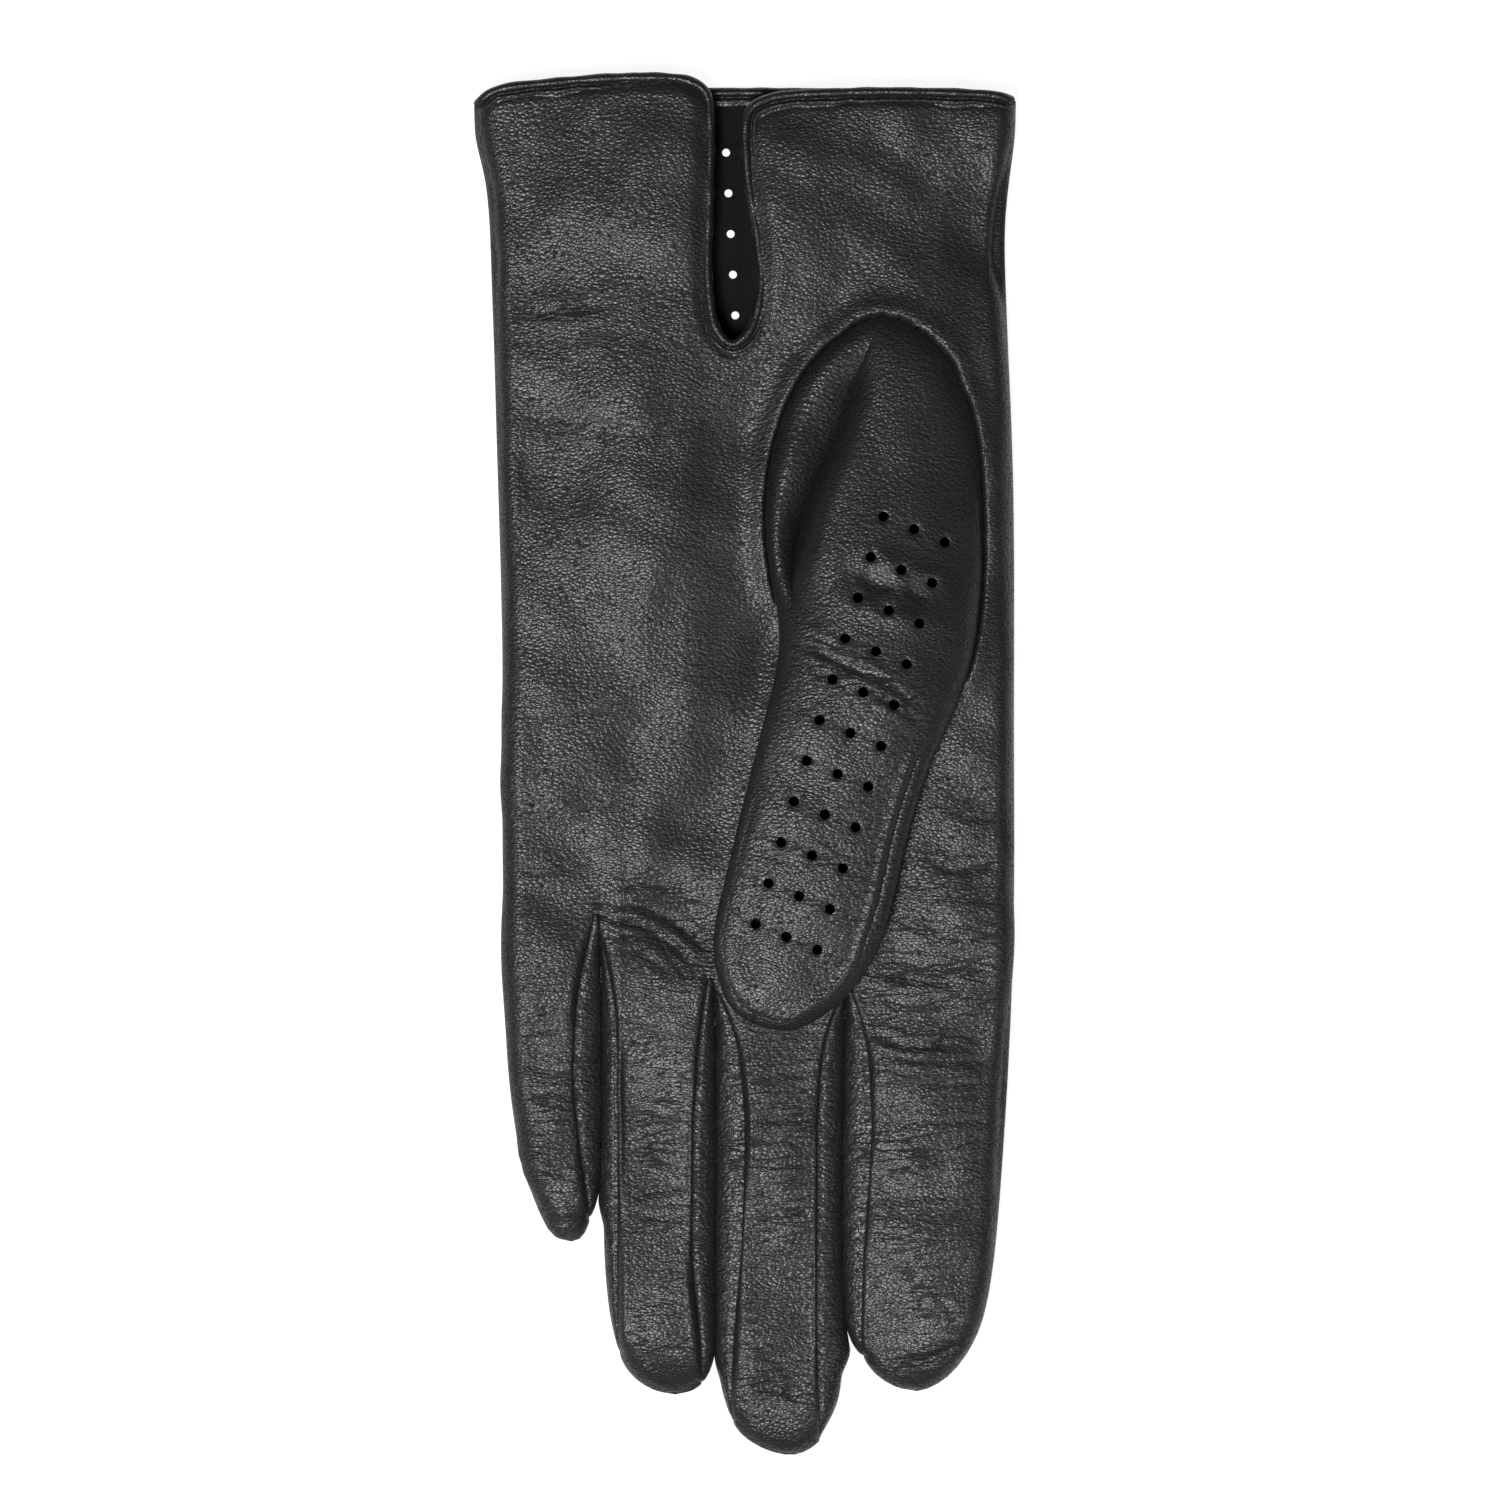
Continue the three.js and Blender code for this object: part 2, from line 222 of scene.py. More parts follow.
class Ripple:
    """Smooth random relief: a sum of plane waves about one wavelength long."""

    def __init__(self, seed, wavelength, stretch=(1.0, 1.0), waves=26):
        rng = np.random.default_rng(seed)
        angle = rng.uniform(0, 2 * math.pi, waves)
        number = 2 * math.pi / (wavelength * rng.uniform(0.7, 1.6, waves))
        self.kx = number * np.cos(angle) / stretch[0]
        self.ky = number * np.sin(angle) / stretch[1]
        self.phase = rng.uniform(0, 2 * math.pi, waves)

    def __call__(self, x, y):
        total = np.zeros_like(x)
        for kx, ky, phase in zip(self.kx, self.ky, self.phase):
            total += np.sin(kx * x + ky * y + phase)
        return total * math.sqrt(2 / len(self.kx))


SWELL = Ripple(11, 38.0)
DIMPLE = Ripple(12, 11.0)
BROKEN = Ripple(13, 5.5)


def crease(x, y, points, depth, width):
    """A soft groove with raised lips along a short line, fading at both ends."""
    route = smooth_route(points, 0.8)
    out = np.zeros_like(x)
    reach = 4 * width
    near = (x > route[:, 0].min() - reach) & (x < route[:, 0].max() + reach)
    near &= (y > route[:, 1].min() - reach) & (y < route[:, 1].max() + reach)
    if not near.any():
        return out
    px, py = x[near], y[near]
    distance, place = nearest(np.stack([px, py], 1), route)
    d = distance / width
    t = place / (len(route) - 1)
    fade = smoothstep(np.minimum(t, 1 - t) / 0.3)
    broken = 0.75 + 0.25 * np.clip(BROKEN(px, py), -1, 1)
    out[near] = depth * fade * broken * (0.45 * bell(d - 1.9, 0.9) - bell(d, 1))
    return out


# Creases are lists of points, with a depth and a width.
PALM_CREASES = [
    # the fan from the web of the little and ring fingers
    ([(-26.5, -27.5), (-20, -28.5), (-12, -33.5), (-8, -38.6)], 0.75, 0.8),
    ([(-26, -25.5), (-19, -25.5), (-11, -29.5), (-5, -35)], 0.5, 0.8),
    ([(-24, -30.5), (-17, -31.5), (-12, -36), (-9.5, -40)], 0.45, 0.6),
    ([(-22, -33.5), (-17, -35), (-13, -39)], 0.3, 0.5),
    ([(-24, -22), (-16, -21.5), (-9, -24.5)], 0.25, 0.9),
    # across the wrist and the heel of the hand
    ([(-44, 62), (-32, 61), (-20, 59), (-8, 60)], 0.16, 1.3),
    ([(-44, 82), (-34, 81.5), (-22, 83)], 0.22, 1.1),
    ([(-44, 76), (-36, 75), (-26, 77), (-12, 75)], 0.12, 1.4),
    ([(-44, 9), (-34, 8), (-22, 9.5)], 0.10, 1.2),
    ([(-43, -8), (-33, -9), (-24, -7)], 0.12, 1.0),
    ([(-43, -19), (-35, -19.5), (-30, -18)], 0.14, 0.8),
    # beside the thumb, and below it towards the index finger
    ([(35, -8), (40, -9.5), (47, -9)], 0.2, 0.7),
    ([(31, -17), (38, -19), (47.5, -18)], 0.28, 0.8),
    ([(30, -22), (38, -24), (47.5, -24.5)], 0.2, 0.7),
    ([(28, -29), (37, -31), (47, -30)], 0.3, 0.8),
    ([(26, -35), (34, -36.5), (47, -36)], 0.3, 0.7),
    ([(21.5, -37), (28, -38.5), (40, -39)], 0.55, 0.8),
    ([(22, -41.5), (30, -43), (44, -42.5)], 0.35, 0.7),
    ([(22, -47.5), (29, -50.5), (40, -49.5)], 0.6, 0.8),
]
# Across a finger's strip: the crease's y, its slant and its depth.
FINGER_CREASES = {
    "little": [(-50, 1.5, 0.35), (-54, -1.0, 0.3), (-59.5, 0.5, 0.22), (-66, 1.0, 0.2), (-72, -1.5, 0.35)],
    "ring": [(-52, 1.0, 0.25), (-59, -0.5, 0.35), (-63.5, 0.5, 0.25), (-77.5, 1.5, 0.55), (-80.5, -1.0, 0.3),
             (-97, 1.0, 0.15)],
    "middle": [(-56, 0.5, 0.3), (-63.8, 0.3, 0.6), (-67, -0.6, 0.3), (-72, 0.6, 0.5), (-76.5, -0.5, 0.25),
               (-81.3, 1.2, 0.5), (-93, 1.0, 0.2)],
    "index": [(-52.5, -1.0, 0.4), (-58, 1.0, 0.4), (-64.4, 0.5, 0.35), (-70, -1.0, 0.2), (-78, 1.0, 0.15)],
}
TIP_CREASES = [
    ([(30.6, -92.9), (34, -95), (38.7, -100.1)], 0.3, 0.8),
    ([(28, -90), (31, -94), (33, -99)], 0.18, 0.8),
    ([(27.5, -107), (33, -106.6), (40.5, -102.8)], 0.7, 0.9),
    ([(0, -110.3), (4, -111.5), (10.5, -114)], 0.55, 0.8),
    ([(1, -104), (5, -107), (9, -110)], 0.2, 0.7),
    ([(-21, -103), (-16, -105), (-10, -104.5)], 0.3, 0.8),
    ([(-36, -80.5), (-33, -82), (-29.5, -81.5)], 0.3, 0.7),
]
# Soft mounds and hollows of the palm side: centre x and y, radii along x and y, and height.
PALM_FORMS = [
    (-15, 106, 12, 17, 1.4), (-40, 106, 7, 9, -0.7),
    (9, 94, 9, 16, 1.6), (48, 98, 14, 16, -1.5),
    (-24, 50, 16, 28, 1.1), (-45, -16, 12, 22, 0.9), (2, 60, 9, 12, -0.7),
    (-14, -26, 6, 5, -0.7), (36, -30, 8, 12, 0.5),
]


def palm_relief(x, y):
    """Displacement of the palm side's leather along its normal."""
    out = 0.42 * SWELL(x, y) + 0.10 * DIMPLE(x, y)
    for centre_x, centre_y, radius_x, radius_y, height in PALM_FORMS:
        out += height * np.exp(-((x - centre_x) / radius_x) ** 2 - ((y - centre_y) / radius_y) ** 2)
    for points, depth, width in PALM_CREASES + TIP_CREASES:
        out += crease(x, y, points, 0.75 * depth, width)
    return out


def finger_relief(finger, x, y):
    """Cross creases of one finger's strip, from seam to seam."""
    out = np.zeros_like(x)
    centre, half = FINGER_SPAN[finger]
    for place, slant, depth in FINGER_CREASES[finger]:
        points = [(centre - half, place - slant), (centre - 0.2 * half, place + 0.5 * slant),
                  (centre + half, place + slant)]
        out += crease(x, y, points, 0.6 * depth, 0.7)
    return out


# ---- Materials ----

class Shading:
    """The shader and nodes of one material. Patterns follow "rest", each point's place in millimetres."""

    def __init__(self, name, roughness, specular=0.5, seed=0.0):
        self.material = bpy.data.materials.new(name)
        self.material.use_nodes = True
        tree = self.material.node_tree
        self.nodes, self.link = tree.nodes, tree.links.new
        self.shader = self.nodes["Principled BSDF"]
        self.shader.inputs["Roughness"].default_value = roughness
        self.shader.inputs["Specular IOR Level"].default_value = specular
        self.seed = seed
        self.rest = self.node("Attribute", attribute_name="rest").outputs["Vector"]

    def node(self, kind, sockets=(), **settings):
        node = self.nodes.new("ShaderNode" + kind)
        for name, value in settings.items():
            setattr(node, name, value)
        for name, value in dict(sockets).items():
            if isinstance(value, bpy.types.NodeSocket):
                self.link(value, node.inputs[name])
            else:
                node.inputs[name].default_value = value
        return node

    def mapped(self, scale, turn):
        place = (self.seed, self.seed * 0.37, self.seed * 0.71)
        sockets = {"Location": place, "Rotation": (0.2, 0.3, turn), "Scale": scale, "Vector": self.rest}
        return self.node("Mapping", sockets).outputs["Vector"]

    def noise(self, vector, detail, scale=1.0):
        return self.node("TexNoise", {"Scale": scale, "Detail": detail, "Vector": vector})

    def streaks(self, size, detail, stretch=1.0, turn=0.0):
        """Noise with spots of the given size in millimetres, drawn out along x."""
        place = self.mapped((1 / (size * stretch), 1 / size, 1 / size), turn)
        return self.noise(place, detail).outputs["Fac"]

    def ramp(self, source, low_at, high_at, low_value=0.0, high_value=1.0):
        sockets = {"From Min": low_at, "From Max": high_at, "To Min": low_value, "To Max": high_value,
                   "Value": source}
        return self.node("MapRange", sockets, interpolation_type="SMOOTHSTEP").outputs["Result"]

    def combine(self, operation, a, b):
        return self.node("Math", {0: a, 1: b}, operation=operation).outputs["Value"]

    def bump(self, height, strength, distance, below=None):
        sockets = {"Strength": strength, "Distance": distance * MM, "Height": height}
        if below is not None:
            sockets["Normal"] = below
        return self.node("Bump", sockets).outputs["Normal"]

    def colour(self, share, dark, light):
        blend = self.node("Mix", data_type="RGBA")
        blend.inputs["A"].default_value = (*dark, 1)
        blend.inputs["B"].default_value = (*light, 1)
        self.link(share, blend.inputs["Factor"])
        self.link(blend.outputs["Result"], self.shader.inputs["Base Color"])


# dark colour painted into the grain's valleys and wrinkle lines, as painted shade
VALLEY_PAINTED_SHADE = (0.0006, 0.0006, 0.0005)
VALLEY_ROUGHNESS = 0.95


def leather_material(name, tone, pebble, relief, roughness, seed):
    """Black nappa: pebbles of the given size in millimetres, with painted shade in the valleys
    between them. The creasing attribute brings out fine cross wrinkles, bumped and painted dark as shade."""
    s = Shading(name, roughness, 0.6, seed)
    wear = s.node("Attribute", attribute_name="wear").outputs["Fac"]
    swirl = s.noise(s.mapped((0.11, 0.11, 0.11), 0.0), 2.0).outputs["Color"]
    sway = s.node("VectorMath", {0: swirl, "Scale": 5.0}, operation="SCALE").outputs["Vector"]
    grid = s.mapped((1 / (pebble * 1.6), 1 / pebble, 1 / pebble), 0.6)
    warped = s.node("VectorMath", {0: grid, 1: sway}, operation="ADD").outputs["Vector"]
    from_centre, from_edge = (
        s.node("TexVoronoi", {"Scale": 1.0, "Vector": warped}, feature=feature).outputs["Distance"]
        for feature in ("F1", "DISTANCE_TO_EDGE"))

    closed = s.ramp(s.streaks(pebble * 1.3, 1.0), 0.5, 0.72, 0.0, 0.6)
    dome = s.combine("MAXIMUM", s.ramp(from_centre, 0.0, 0.85, 1.0, 0.0), closed)
    plateau = s.combine("MAXIMUM", s.ramp(from_edge, 0.0, 0.15), closed)
    folds = s.combine("ABSOLUTE", s.combine("SUBTRACT", s.streaks(1.9, 2.0, 4.5, 0.05), 0.5), 0.0)
    wrinkle = s.combine("MULTIPLY", s.ramp(folds, 0.0, 0.045, 1.0, 0.0), wear)
    # painted shade: the valleys between the pebbles and the wrinkle lines take the dark colour, and are
    # rougher
    valley = s.combine("MAXIMUM", s.combine("SUBTRACT", 1.0, plateau), wrinkle)

    soft = s.bump(s.streaks(2.6, 3.0, 1.4, 0.5), 0.35, 0.10)
    lines = s.bump(wrinkle, 0.8, -0.16, soft)
    s.link(s.bump(dome, relief, 0.07, lines), s.shader.inputs["Normal"])

    # random lighter and darker patches of colour: partly the leather's uneven polish, partly painted sheen
    polish_and_sheen = s.ramp(s.streaks(14.0, 3.0), 0.3, 0.7, 0.85, 1.15)
    bright = s.combine("MULTIPLY", s.combine("SUBTRACT", 1.0, s.combine("MULTIPLY", valley, 0.96)), polish_and_sheen)
    s.colour(bright, VALLEY_PAINTED_SHADE, tone)
    s.link(s.ramp(valley, 0.0, 1.0, roughness, VALLEY_ROUGHNESS), s.shader.inputs["Roughness"])
    return s.material


def fibre_material(name, dark, light, scale, detail, strength, depth, roughness, specular):
    """Fibres without a grain, such as suede or thread."""
    s = Shading(name, roughness, specular)
    fibre = s.noise(s.rest, detail, scale).outputs["Fac"]
    s.colour(fibre, dark, light)
    s.link(s.bump(fibre, strength, depth), s.shader.inputs["Normal"])
    return s.material


LEATHER_MAIN = leather_material(
    "nappa_main", (0.0052, 0.0052, 0.0043), pebble=0.50, relief=0.95, roughness=0.39, seed=3.1)
LEATHER_GUSSET = leather_material(
    "nappa_gusset", (0.0065, 0.0065, 0.0055), pebble=0.60, relief=1.15, roughness=0.36, seed=17.3)
LEATHER_BINDING = leather_material(
    "nappa_binding", (0.0045, 0.0045, 0.0038), pebble=0.45, relief=0.6, roughness=0.34, seed=29.7)
SUEDE = fibre_material(
    "suede_inside", dark=(0.004, 0.004, 0.004), light=(0.014, 0.013, 0.013),
    scale=2.2, detail=5.0, strength=0.5, depth=0.1, roughness=0.95, specular=0.15)
THREAD = fibre_material(
    "black_thread", dark=(0.012, 0.012, 0.012), light=(0.035, 0.034, 0.032),
    scale=6.0, detail=2.0, strength=0.6, depth=0.05, roughness=0.6, specular=0.5)


# ---- Making meshes ----

def thicken(points, faces, thickness):
    """Closes a sheet into a body: an inner copy moved in along the normals, and a rim round its edges.
    Returns the points, the faces and the number of faces of the outer copy."""
    normal = np.zeros_like(points)
    for size in (3, 4):
        some = np.array([face for face in faces if len(face) == size])
        if not len(some):
            continue
        a, b, c, d = (points[some[:, k % size]] for k in (0, 1, 2, 3 if size == 4 else 0))
        across = np.cross(c - a, d - b) if size == 4 else np.cross(b - a, c - a)
        for k in range(size):
            np.add.at(normal, some[:, k], across)
    normal /= np.maximum(np.linalg.norm(normal, axis=1, keepdims=True), 1e-9)
    count = len(points)
    inner = points - normal * np.broadcast_to(thickness, (count,))[:, None]
    edges = {(a, b) for face in faces for a, b in zip(face, face[1:] + face[:1])}
    rim = [[b, a, a + count, b + count] for a, b in edges if (b, a) not in edges]
    rim.sort()
    inside = [[v + count for v in face[::-1]] for face in faces]
    return np.vstack([points, inner]), faces + inside + rim, len(faces)


def sharpen_rims(mesh, first_rim_face):
    """Gives the cut edges of a sheet crisp corners, so that its surface shades smoothly right up to them."""
    on_rim = np.zeros(len(mesh.edges), int)
    loop_edges = np.empty(len(mesh.loops), int)
    mesh.loops.foreach_get("edge_index", loop_edges)
    loop_faces = np.repeat(np.arange(len(mesh.polygons)), [len(face.vertices) for face in mesh.polygons])
    np.add.at(on_rim, loop_edges[loop_faces >= first_rim_face], 1)
    sharp = mesh.attributes.new("sharp_edge", "BOOLEAN", "EDGE")
    sharp.data.foreach_set("value", (on_rim == 1).tolist())


def wrinkles_and_shade_at(x, y):
    """How creased the leather is, and so how dark its wrinkle lines are painted as shade: near the
    creases that are modelled, and over the roots of the fingers.
    """
    out = 0.30 * smoothstep((-18 - y) / 25) * smoothstep((y + 112) / 12)
    out = out + 0.5 * bell(y + 68, 20) * smoothstep(DIMPLE(x, y) * 0.5 + 0.4)
    for points, depth, _ in PALM_CREASES + TIP_CREASES:
        route = np.array(points, float)
        near = np.full(x.shape, 99.0)
        for a, b in zip(route[:-1], route[1:]):
            along = b - a
            t = np.clip(((x - a[0]) * along[0] + (y - a[1]) * along[1]) / (along @ along), 0, 1)
            near = np.minimum(near, np.hypot(x - a[0] - t * along[0], y - a[1] - t * along[1]))
        out = np.maximum(out, min(1.0, 0.4 + depth) * bell(near, 2.4))
    return np.clip(out, 0, 1)


def add_object(name, data):
    """A new object in the scene, made of a mesh, a light or a camera."""
    made = bpy.data.objects.new(name, data)
    bpy.context.scene.collection.objects.link(made)
    return made


def make_piece(name, points, faces, material, thickness=LEATHER, flip=False, wear=None):
    """A smooth-shaded piece from points in millimetres. With a thickness it becomes a sheet of leather,
    grown inwards, with suede on its inner side."""
    faces = [list(face[::-1]) if flip else list(face) for face in faces]
    if wear is None:
        wear = wrinkles_and_shade_at(points[:, 0], points[:, 1])
    sheet = len(faces)
    solid = np.max(thickness) > 0
    if solid:
        points, faces, sheet = thicken(points, faces, thickness)
        wear = np.concatenate([wear, wear])
    mesh = bpy.data.meshes.new(name)
    mesh.from_pydata((points * MM).tolist(), [], faces)
    mesh.materials.append(material)
    mesh.materials.append(SUEDE)
    mesh.polygons.foreach_set("use_smooth", [True] * len(faces))
    mesh.polygons.foreach_set("material_index", [int(k >= sheet) for k in range(len(faces))])
    if solid:
        sharpen_rims(mesh, 2 * sheet)
    mesh.attributes.new("rest", "FLOAT_VECTOR", "POINT").data.foreach_set("vector", points.ravel())
    # where this is high, fine wrinkle lines are bumped in and painted dark as shade
    mesh.attributes.new("wear", "FLOAT", "POINT").data.foreach_set("value", wear)
    return add_object(name, mesh)


def grid_faces(rows, cols, offset=0):
    i, j = np.meshgrid(np.arange(rows - 1), np.arange(cols - 1), indexing="ij")
    a = offset + i * cols + j
    return np.stack([a, a + 1, a + cols + 1, a + cols], -1).reshape(-1, 4)


def joined(grids, tolerance=0.02):
    """Several grids of points as one mesh, with points that coincide made one."""
    points, faces, offset = [], [], 0
    for grid in grids:
        rows, cols = grid.shape[:2]
        points.append(grid.reshape(-1, 3))
        faces.append(grid_faces(rows, cols, offset))
        offset += rows * cols
    points, faces = np.vstack(points), np.vstack(faces)
    keys = np.round(points / tolerance).astype(np.int64)
    _, first, inverse = np.unique(keys, axis=0, return_index=True, return_inverse=True)
    faces = inverse.reshape(-1)[faces]
    kept = []
    for face in faces.tolist():
        ring = [v for k, v in enumerate(face) if v != face[k - 1]]
        if len(set(ring)) == len(ring) and len(ring) > 2:
            kept.append(ring)
    return points[first], kept


# ---- Edges of the strips, read from the frame ----

TABLE_STEP = 0.4  # spacing of the stations at which the frame is sliced
CUFF_Y = 124.0  # nominal height of the last row of the palm; its real edge is the cuff's route below
WARP_FROM = 70.0  # rows above this are stretched to follow the cuff edge

# The route of the cuff edge: left lobe, vent and right lobe, as the CAD binding runs.
LEFT_LOBE = [(-48, 118.4), (-45, 120.6), (-34, 122.2), (-20, 123.1), (-10.5, 122.6), (-7, 120.4)]
VENT = [(-6.2, 115), (-6.4, 100), (-6.5, 86), (-5, 77.8), (-2.3, 75.3), (0.8, 77.8), (2.9, 86), (2.2, 94),
        (0.2, 108)]
RIGHT_LOBE = [(0.6, 116.8), (4, 119.2), (18, 120.4), (34, 120.4), (45, 119.8), (48, 119)]
BACK_EDGE = [(-48, 118.2), (-44, 119.6), (-20, 120.6), (10, 120.8), (42, 120), (48, 118.8)]
CUFF_ROUTE = smooth_route(LEFT_LOBE + VENT + RIGHT_LOBE, 0.25)
BACK_ROUTE = smooth_route(BACK_EDGE, 0.25)
VENT_X = -2.3
VENT_PLACE = int(np.argmin(np.where(np.abs(CUFF_ROUTE[:, 0] - VENT_X) < 6, CUFF_ROUTE[:, 1], 999)))
VENT_BOTTOM = CUFF_ROUTE[VENT_PLACE]
# The route on both sides of the vent's bottom, and the y where each lobe's edge turns into the vent.
LEFT_CUFF = CUFF_ROUTE[:VENT_PLACE + 1]
RIGHT_CUFF = CUFF_ROUTE[VENT_PLACE:]
LEFT_TURN = VENT[0][1]
RIGHT_TURN = RIGHT_LOBE[0][1]

# x and y of the place where each slot between two fingers starts
SLOT_START = {
    ("little", "ring"): (-25.8, -34.4),
    ("ring", "middle"): (-5.4, -42.6),
    ("middle", "index"): (17.9, -44.2),
}


class Web:
    """The gusset between two fingers, and the seams on both its sides."""

    def __init__(self, left, right):
        self.left, self.right = left, right
        self.node = f"web_{left}_{right}"
        self.left_gusset = f"{left}_fourchette_{right}_side"
        self.right_gusset = f"{right}_fourchette_{left}_side"
        self.apex = high(self.node)[1]
        self.centre, self.slot_top = SLOT_START[left, right]
        self.slicer = Slicer([self.node])
        u = self.slicer.crossings(self.apex - 0.4)
        self.apex_x = float(u.mean())

    def gusset(self, side):
        """The CAD's gusset on the left finger's right (+1), or on the right finger's left (-1)."""
        return self.left_gusset if side > 0 else self.right_gusset

    def beyond(self, side):
        """The finger across the web from the one that has it on its right (+1) or left (-1)."""
        return self.right if side > 0 else self.left

    def seams(self, y):
        """The x of the web's two seams."""
        u = self.slicer.crossings(y)
        return u.min(), u.max()

    def slot(self, y, side):
        """The x of the slot's edge on the left finger (-1) or on the right finger (+1)."""
        if y > self.slot_top - 0.4:
            return self.centre
        u = self.slicer.crossings(y)
        return u[u < self.centre].max() if side < 0 else u[u > self.centre].min()

    def shared(self, y):
        """The two neighbours' shared line above the web, which divides again at the vent."""
        if self.left != "ring":
            return self.apex_x, self.apex_x
        bottom_x, bottom_y = VENT_BOTTOM
        if y <= bottom_y:
            x = self.apex_x + (bottom_x - self.apex_x) * (y - self.apex) / (bottom_y - self.apex)
            return x, x
        return vent_edges(y)


def vent_edges(y):
    """The x of the vent's two edges at one y."""
    down = LEFT_CUFF[LEFT_CUFF[:, 1] < LEFT_TURN][::-1]
    up = RIGHT_CUFF[RIGHT_CUFF[:, 1] < RIGHT_TURN]
    return float(np.interp(y, down[:, 1], down[:, 0])), float(np.interp(y, up[:, 1], up[:, 0]))


WEB = {(left, right): Web(left, right) for left, right in WEBS}
OUTLINE = Slicer(["palm_panel", "back_panel"] + [finger + "_front" for finger in FINGERS])
FRONT_SLICER = {finger: Slicer([finger + "_front"]) for finger in FINGERS}
GUSSET_SLICER = {web.gusset(side): Slicer([web.gusset(side)]) for web in WEB.values() for side in (1, -1)}
TIP_Y = {finger: low(finger + "_front")[1] for finger in FINGERS}
SPLIT_Y = {finger: KNUCKLE[finger] + SPLIT_REACH for finger in FINGERS}
FINGER_SPAN = {}
for finger in FINGERS:
    cut = FRONT_SLICER[finger].crossings(KNUCKLE[finger] - 8)
    FINGER_SPAN[finger] = ((cut.max() + cut.min()) / 2, (cut.max() - cut.min()) / 2)


def web_beside(finger, side):
    """The web on a finger's left (-1) or right (+1), or None on the outside of the hand."""
    place = FINGERS.index(finger) + side
    if not 0 <= place < len(FINGERS):
        return None
    return WEB[tuple(sorted((finger, FINGERS[place]), key=FINGERS.index))]


def strip_edge(finger, side, y):
    """The x of one edge of a finger's strip, and of the palm above it, at one y."""
    web = web_beside(finger, side)
    pick = max if side > 0 else min
    place = 0 if side > 0 else 1
    if y <= KNUCKLE[finger]:
        u = FRONT_SLICER[finger].crossings(np.clip(y, TIP_Y[finger] + 0.02, KNUCKLE[finger] - 0.2))
        return pick(u) if len(u) else (low(finger + "_front")[0] + high(finger + "_front")[0]) / 2
    if web is None:
        return pick(OUTLINE.crossings(np.clip(y, KNUCKLE[finger] + 0.5, 118.0)))
    if y < web.apex - 0.3:
        return web.seams(max(min(y, web.apex - 0.3), KNUCKLE[finger] + 0.2))[place]
    return web.shared(y)[place]


def edge_table(finger):
    """Both edges of a strip from its tip to the cuff, with the CAD's facets smoothed out."""
    y = np.arange(TIP_Y[finger] + 0.02, CUFF_Y + 1, TABLE_STEP)
    edges = []
    for side in (-1, 1):
        raw = np.array([strip_edge(finger, side, value) for value in y])
        web = web_beside(finger, side)
        ends = [TIP_Y[finger]] + ([web.apex, VENT_BOTTOM[1]] if web else [])
        edges.append(smoothed(raw, y, 2.0, ends))
    return y, *edges


def strip_edges(finger, y):
    """The x of a strip's left and right edges at each y."""
    stations, left, right = EDGE_TABLE[finger]
    return np.interp(y, stations, left), np.interp(y, stations, right)


def cuff_edge(x, side):
    """The y of the cuff edge above x, on the palm side (+1) or the back (-1)."""
    if side < 0:
        return np.interp(x, BACK_ROUTE[:, 0], BACK_ROUTE[:, 1])
    left = LEFT_CUFF[LEFT_CUFF[:, 1] > LEFT_TURN]
    right = RIGHT_CUFF[RIGHT_CUFF[:, 1] > RIGHT_TURN]
    on_left = np.interp(x, left[:, 0], left[:, 1])
    on_right = np.interp(x, right[:, 0], right[:, 1])
    return np.where(x < VENT_BOTTOM[0], on_left, on_right)


EDGE_TABLE = {finger: edge_table(finger) for finger in FINGERS}


# ---- The thumb's coordinates: u across the stall, v along it from the crease towards the wrist ----

THUMB_SLICER = Slicer(THUMB_NODES, THUMB_ORIGIN, THUMB_ALONG)
THUMB_TIP_V = float(THUMB_SLICER.v.min())
THUMB_WRIST_V = float(THUMB_SLICER.v.max())


def thumb_xy(u, v):
    """The glove's x and y from the thumb's coordinates."""
    return THUMB_ORIGIN + np.stack([u, v], -1) @ np.stack([THUMB_ACROSS, THUMB_ALONG])


def thumb_uv(x, y):
    """The thumb's coordinates from the glove's x and y."""
    p = np.stack([x, y], -1) - THUMB_ORIGIN
    return p @ THUMB_ACROSS, p @ THUMB_ALONG


THUMB_V = np.concatenate([
    THUMB_TIP_V + TIP_LENGTH * (1 - np.cos(np.linspace(0.02, math.pi / 2, 26))),
    np.arange(THUMB_TIP_V + TIP_LENGTH + STEP, THUMB_WRIST_V - 5, STEP),
    THUMB_WRIST_V - 5 * np.cos(np.linspace(0, math.pi / 2 - 0.03, 14)),
])
THUMB_LO = smoothed(THUMB_SLICER.edge(THUMB_V, min), THUMB_V, 1.6, [THUMB_TIP_V, THUMB_WRIST_V])
THUMB_HI = smoothed(THUMB_SLICER.edge(THUMB_V, max), THUMB_V, 1.6, [THUMB_TIP_V, THUMB_WRIST_V])
THUMB_OUTLINE = np.vstack([thumb_xy(THUMB_LO, THUMB_V), thumb_xy(THUMB_HI, THUMB_V)[::-1]])


def thumb_distance(x, y):
    """Distance to the thumb's outline: positive outside it, negative inside."""
    shape = x.shape
    p = np.stack([x.ravel(), y.ravel()], 1)
    d = np.full(len(p), FAR)
    near = (np.abs(p[:, 0] - 18) < 40) & (p[:, 1] > -60) & (p[:, 1] < 92)
    d[near] = nearest(p[near], THUMB_OUTLINE)[0]
    u, v = thumb_uv(p[:, 0], p[:, 1])
    inside = (u > np.interp(v, THUMB_V, THUMB_LO)) & (u < np.interp(v, THUMB_V, THUMB_HI))
    inside &= (v > THUMB_TIP_V) & (v < THUMB_WRIST_V)
    return np.where(inside, -d, d).reshape(shape)


# ---- The palm, the back and the finger strips ----

